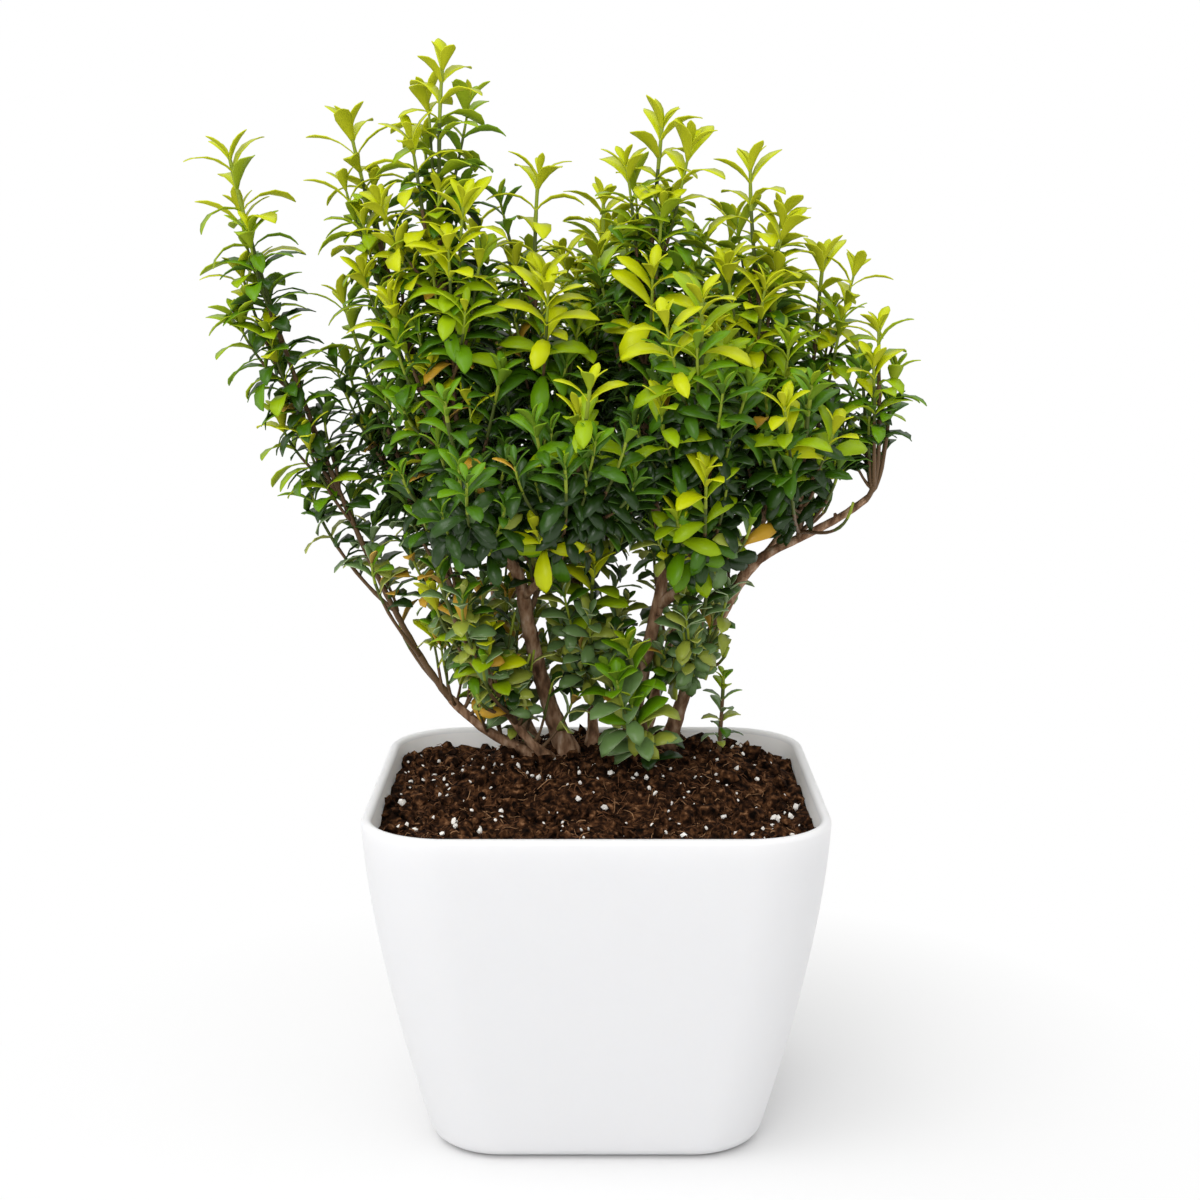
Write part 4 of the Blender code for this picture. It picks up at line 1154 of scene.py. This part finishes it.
def build_soil(finish):
    rim = side_ring(SOIL_EDGE_Z, WALL + SOIL_GAP, SOIL_POINTS)
    centre = np.array((*HEAP_CENTRE, 0.0))
    rings = [side_ring(SOIL_BASE_Z, WALL + SOIL_GAP, SOIL_POINTS)]
    for step in range(SOIL_RINGS):
        ring = rim + (centre - rim) * step / SOIL_RINGS
        ring[:, 2] = [soil_height(x, y) for x, y in ring[:, :2]]
        rings.append(ring)
    soil = add_piece("soil_surface", *closed(np.concatenate(rings), len(rim)), [finish])
    stand_for(soil, "soil")


def random_turn(dice):
    one = unit(np.array([dice.gauss(0, 1) for _ in range(3)]))
    two = unit(np.cross(one, np.array([dice.gauss(0, 1) for _ in range(3)])))
    return np.column_stack((one, two, np.cross(one, two)))


def ball():
    """Corners and faces of a twenty-sided ball."""
    gold = (1 + math.sqrt(5)) / 2
    corners = [(-1, gold, 0), (1, gold, 0), (-1, -gold, 0), (1, -gold, 0), (0, -1, gold), (0, 1, gold),
               (0, -1, -gold), (0, 1, -gold), (gold, 0, -1), (gold, 0, 1), (-gold, 0, -1), (-gold, 0, 1)]
    faces = [(0, 11, 5), (0, 5, 1), (0, 1, 7), (0, 7, 10), (0, 10, 11), (1, 5, 9), (5, 11, 4), (11, 10, 2),
             (10, 7, 6), (7, 1, 8), (3, 9, 4), (3, 4, 2), (3, 2, 6), (3, 6, 8), (3, 8, 9), (4, 9, 5),
             (2, 4, 11), (6, 2, 10), (8, 6, 7), (9, 8, 1)]
    return unit(np.array(corners)), np.array(faces)


def on_soil(dice):
    """A random place on the open soil."""
    half = side_half(SOIL_EDGE_Z) - WALL - 0.002
    corner = side_corner(SOIL_EDGE_Z) - WALL
    while True:
        x, y = dice.uniform(-half, half), dice.uniform(-half, half)
        if math.hypot(max(0.0, abs(x) - half + corner), max(0.0, abs(y) - half + corner)) < corner:
            return x, y


def build_lumps(name, count, sizes, rise, rough, finish, dice):
    """Balls with each corner moved in or out, strewn on the soil; rise(size) is how high they lie."""
    corners, faces = ball()
    least, more, rare = sizes
    lumps = Gathered()
    for _ in range(count):
        x, y = on_soil(dice)
        size = least + more * dice.random() ** rare
        centre = np.array((x, y, soil_height(x, y) + rise(size)))
        turn = random_turn(dice)
        stretch = np.array([dice.uniform(0.5, 1.4) for _ in range(3)])
        push = np.array([1.0 + stray(dice, rough) for _ in corners])
        points = (corners * push[:, None] * stretch * size) @ turn.T + centre
        lumps.add(points, np.zeros((0, 4), int), faces)
    stand_for(lumps.piece(name, [finish], True), "soil")


def build_fibres(dice):
    limit = side_half(SOIL_EDGE_Z) - WALL - 0.007
    fibres = Gathered()
    for _ in range(FIBRES):
        x, y = on_soil(dice)
        way = dice.uniform(0, math.tau)
        step = dice.uniform(*FIBRE_LENGTHS) / 4
        curl = stray(dice, FIBRE_CURL)
        line = []
        for k in range(5):
            rise = FIBRE_RISE[0] + FIBRE_RISE[1] * math.sin(k * 0.8) * dice.random()
            line.append((x, y, soil_height(x, y) + rise))
            way += curl / 4
            x += math.cos(way) * step
            y += math.sin(way) * step
        if max(abs(p) for point in line for p in point[:2]) > limit:
            continue
        thick = dice.uniform(*FIBRE_RADII)
        slot = dice.choices(range(3), [weight for *_, weight in FIBRE_TINTS])[0]
        fibres.add(*tube(line, [thick * 0.5, thick, thick, thick, thick * 0.4], 3), slot, slot)
    finishes = [grained(name, code, 0.9, 0.1, FIBRE_GRAIN) for name, code, _ in FIBRE_TINTS]
    stand_for(fibres.piece("soil_fibres", finishes), "soil")


def build_crumbs(finish):
    """Clods, fibres and perlite that lie on the soil."""
    dice = random.Random(41)
    build_lumps("soil_clods", CLODS, CLOD_SIZES, lambda size: size * dice.uniform(*CLOD_RISE),
                CLOD_ROUGH, finish, dice)
    build_fibres(dice)
    white = grained("perlite", "f7f3ec", 0.8, 0.3, PERLITE_GRAIN)
    build_lumps("perlite", PERLITE, PERLITE_SIZES, lambda size: size + PERLITE_LIFT,
                PERLITE_ROUGH, white, dice)


# ---- stage


def build_lights():
    for name, spot, target, size, power in LIGHTS:
        light = bpy.data.lights.new(name, "AREA")
        light.shape = "DISK"
        light.energy = power
        light.size = size
        made = bpy.data.objects.new(name, light)
        made.location = spot
        made.rotation_euler = (Vector(target) - Vector(spot)).to_track_quat("-Z", "Y").to_euler()
        bpy.context.scene.collection.objects.link(made)


def build_floor():
    """A white floor that takes the shadow near the pot and passes into even white further out."""
    finish, shader = new_finish("floor_white", (0.80, 0.80, 0.80), 0.7, 0.2)
    tree = finish.node_tree
    spots = add_node(tree, "TexCoord", {})
    reach = add_node(tree, "VectorMath", {0: spots.outputs["Object"]})
    reach.operation = "LENGTH"
    spread = add_node(tree, "MapRange", {"Value": reach.outputs["Value"], "From Min": FLOOR_LIT[0],
                                         "From Max": FLOOR_LIT[1]})
    glow = add_node(tree, "Emission", {})
    mix = add_node(tree, "MixShader", {"Fac": spread.outputs["Result"], 1: shader.outputs["BSDF"],
                                       2: glow.outputs["Emission"]})
    tree.links.new(mix.outputs["Shader"], tree.nodes["Material Output"].inputs["Surface"])
    edge = [level_way(math.tau * k / FLOOR_SIDES) * FLOOR_RADIUS for k in range(FLOOR_SIDES)]
    fans = [(k, (k + 1) % FLOOR_SIDES, FLOOR_SIDES) for k in range(FLOOR_SIDES)]
    floor = add_piece("floor", edge + [np.zeros(3)], [], fans, [finish])
    floor.location.z = -FLOOR_DROP


def build_world():
    """Even white where it is seen; as a light it is bright overhead and dimmer towards the horizon."""
    world = bpy.data.worlds.new("studio")
    world.use_nodes = True
    tree = world.node_tree
    white = (1.0, 1.0, 1.0, 1.0)
    seen = tree.nodes["Background"]
    seen.inputs["Color"].default_value = white
    spots = add_node(tree, "TexCoord", {})
    split = add_node(tree, "SeparateXYZ", {"Vector": spots.outputs["Generated"]})
    spread = add_node(tree, "MapRange", {"Value": split.outputs["Z"], "To Min": SKY_LIGHT[0],
                                         "To Max": SKY_LIGHT[1]})
    lighting = add_node(tree, "Background", {"Color": white, "Strength": spread.outputs["Result"]})
    path = add_node(tree, "LightPath", {})
    mix = add_node(tree, "MixShader", {"Fac": path.outputs["Is Camera Ray"],
                                       1: lighting.outputs["Background"],
                                       2: seen.outputs["Background"]})
    tree.links.new(mix.outputs["Shader"], tree.nodes["World Output"].inputs["Surface"])
    bpy.context.scene.world = world


def build_camera():
    camera = bpy.data.cameras.new("camera")
    camera.sensor_width = SENSOR
    camera.lens = LENS
    camera.shift_x = SHIFT_X
    made = bpy.data.objects.new("camera", camera)
    made.location = (0.0, -CAMERA_DISTANCE, CAMERA_HEIGHT)
    made.rotation_euler = (math.pi / 2 - CAMERA_PITCH, 0.0, 0.0)
    bpy.context.scene.collection.objects.link(made)
    bpy.context.scene.camera = made


# ---- main


def plan_crown(masses, limbs, spaces):
    """For each mass its shoots, as (order, curve): the leader, side shoots, then finer shoots."""
    tips = [mass["curve"][3] for mass in masses]
    none = [[] for _ in masses]
    counts = [mass["count"] for mass in masses]
    sides = plan_shoots(masses, counts, none, tips, spaces, 0, try_side_shoot, False)
    counts = [fine_count(mass) for mass in masses]
    fine = plan_shoots(masses, counts, sides, tips, spaces, FINE_SEED, try_fine_shoot, True)
    add_sprouts(masses, limbs, fine, tips, spaces)
    crown = []
    for mass, *orders in zip(masses, sides, fine):
        orders.insert(0, [mass["curve"]])
        more = SOIL_SHOOT_GROWTH if mass["root"] is None else TIP_GROWTH
        crown.append([(order, longer(curve, more[order])) for order in range(3) for curve in orders[order]])
    return crown


def build_foliage(limbs, cad_box):
    masses = plan_masses(limbs)
    spaces = Spaces(masses, limbs)
    shown = shown_wood(masses, limbs)
    crown = plan_crown(masses, limbs, spaces)
    leaf_looks = leaf_finishes()
    twig_looks = [grained(name, code, 0.6, 0.3, TWIG_GRAIN) for name, code in TWIG_TINTS]
    free = iter(openness([curve[3] for shoots in crown for _, curve in shoots]))
    for mass, shoots in zip(masses, crown):
        dice = random.Random(mass["seed"] + LEAF_SEED)
        twigs = Gathered()
        rows = []
        for order, curve in shoots:
            rows += grow_leaves(curve, TWIG_BARE[order], mass, next(free), dice)
            root, base = (mass["root"], mass["base"]) if order == 0 else (None, TWIG_BASES[order])
            add_twig(twigs, curve, root, base, order)
        skirted = mass["root"] is not None
        leaves = leaves_piece("leaves_" + mass["name"], rows, leaf_looks, spaces, shown, skirted, cad_box)
        stand_for(leaves, mass["name"])
        stand_for(twigs.piece("twigs_" + mass["name"], twig_looks), mass["name"])


def main():
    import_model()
    cad_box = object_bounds()
    build_pot(pot_finishes())
    soil = soil_finish()
    build_soil(soil)
    build_crumbs(soil)
    limbs = plan_limbs()
    bark = bark_finish()
    dice = random.Random(7)
    for name, limb in limbs.items():
        build_limb(name, limb, bark, dice)
    build_foliage(limbs, cad_box)
    build_floor()
    build_world()
    build_lights()
    build_camera()
    bpy.context.scene.view_settings.view_transform = "Standard"


main()
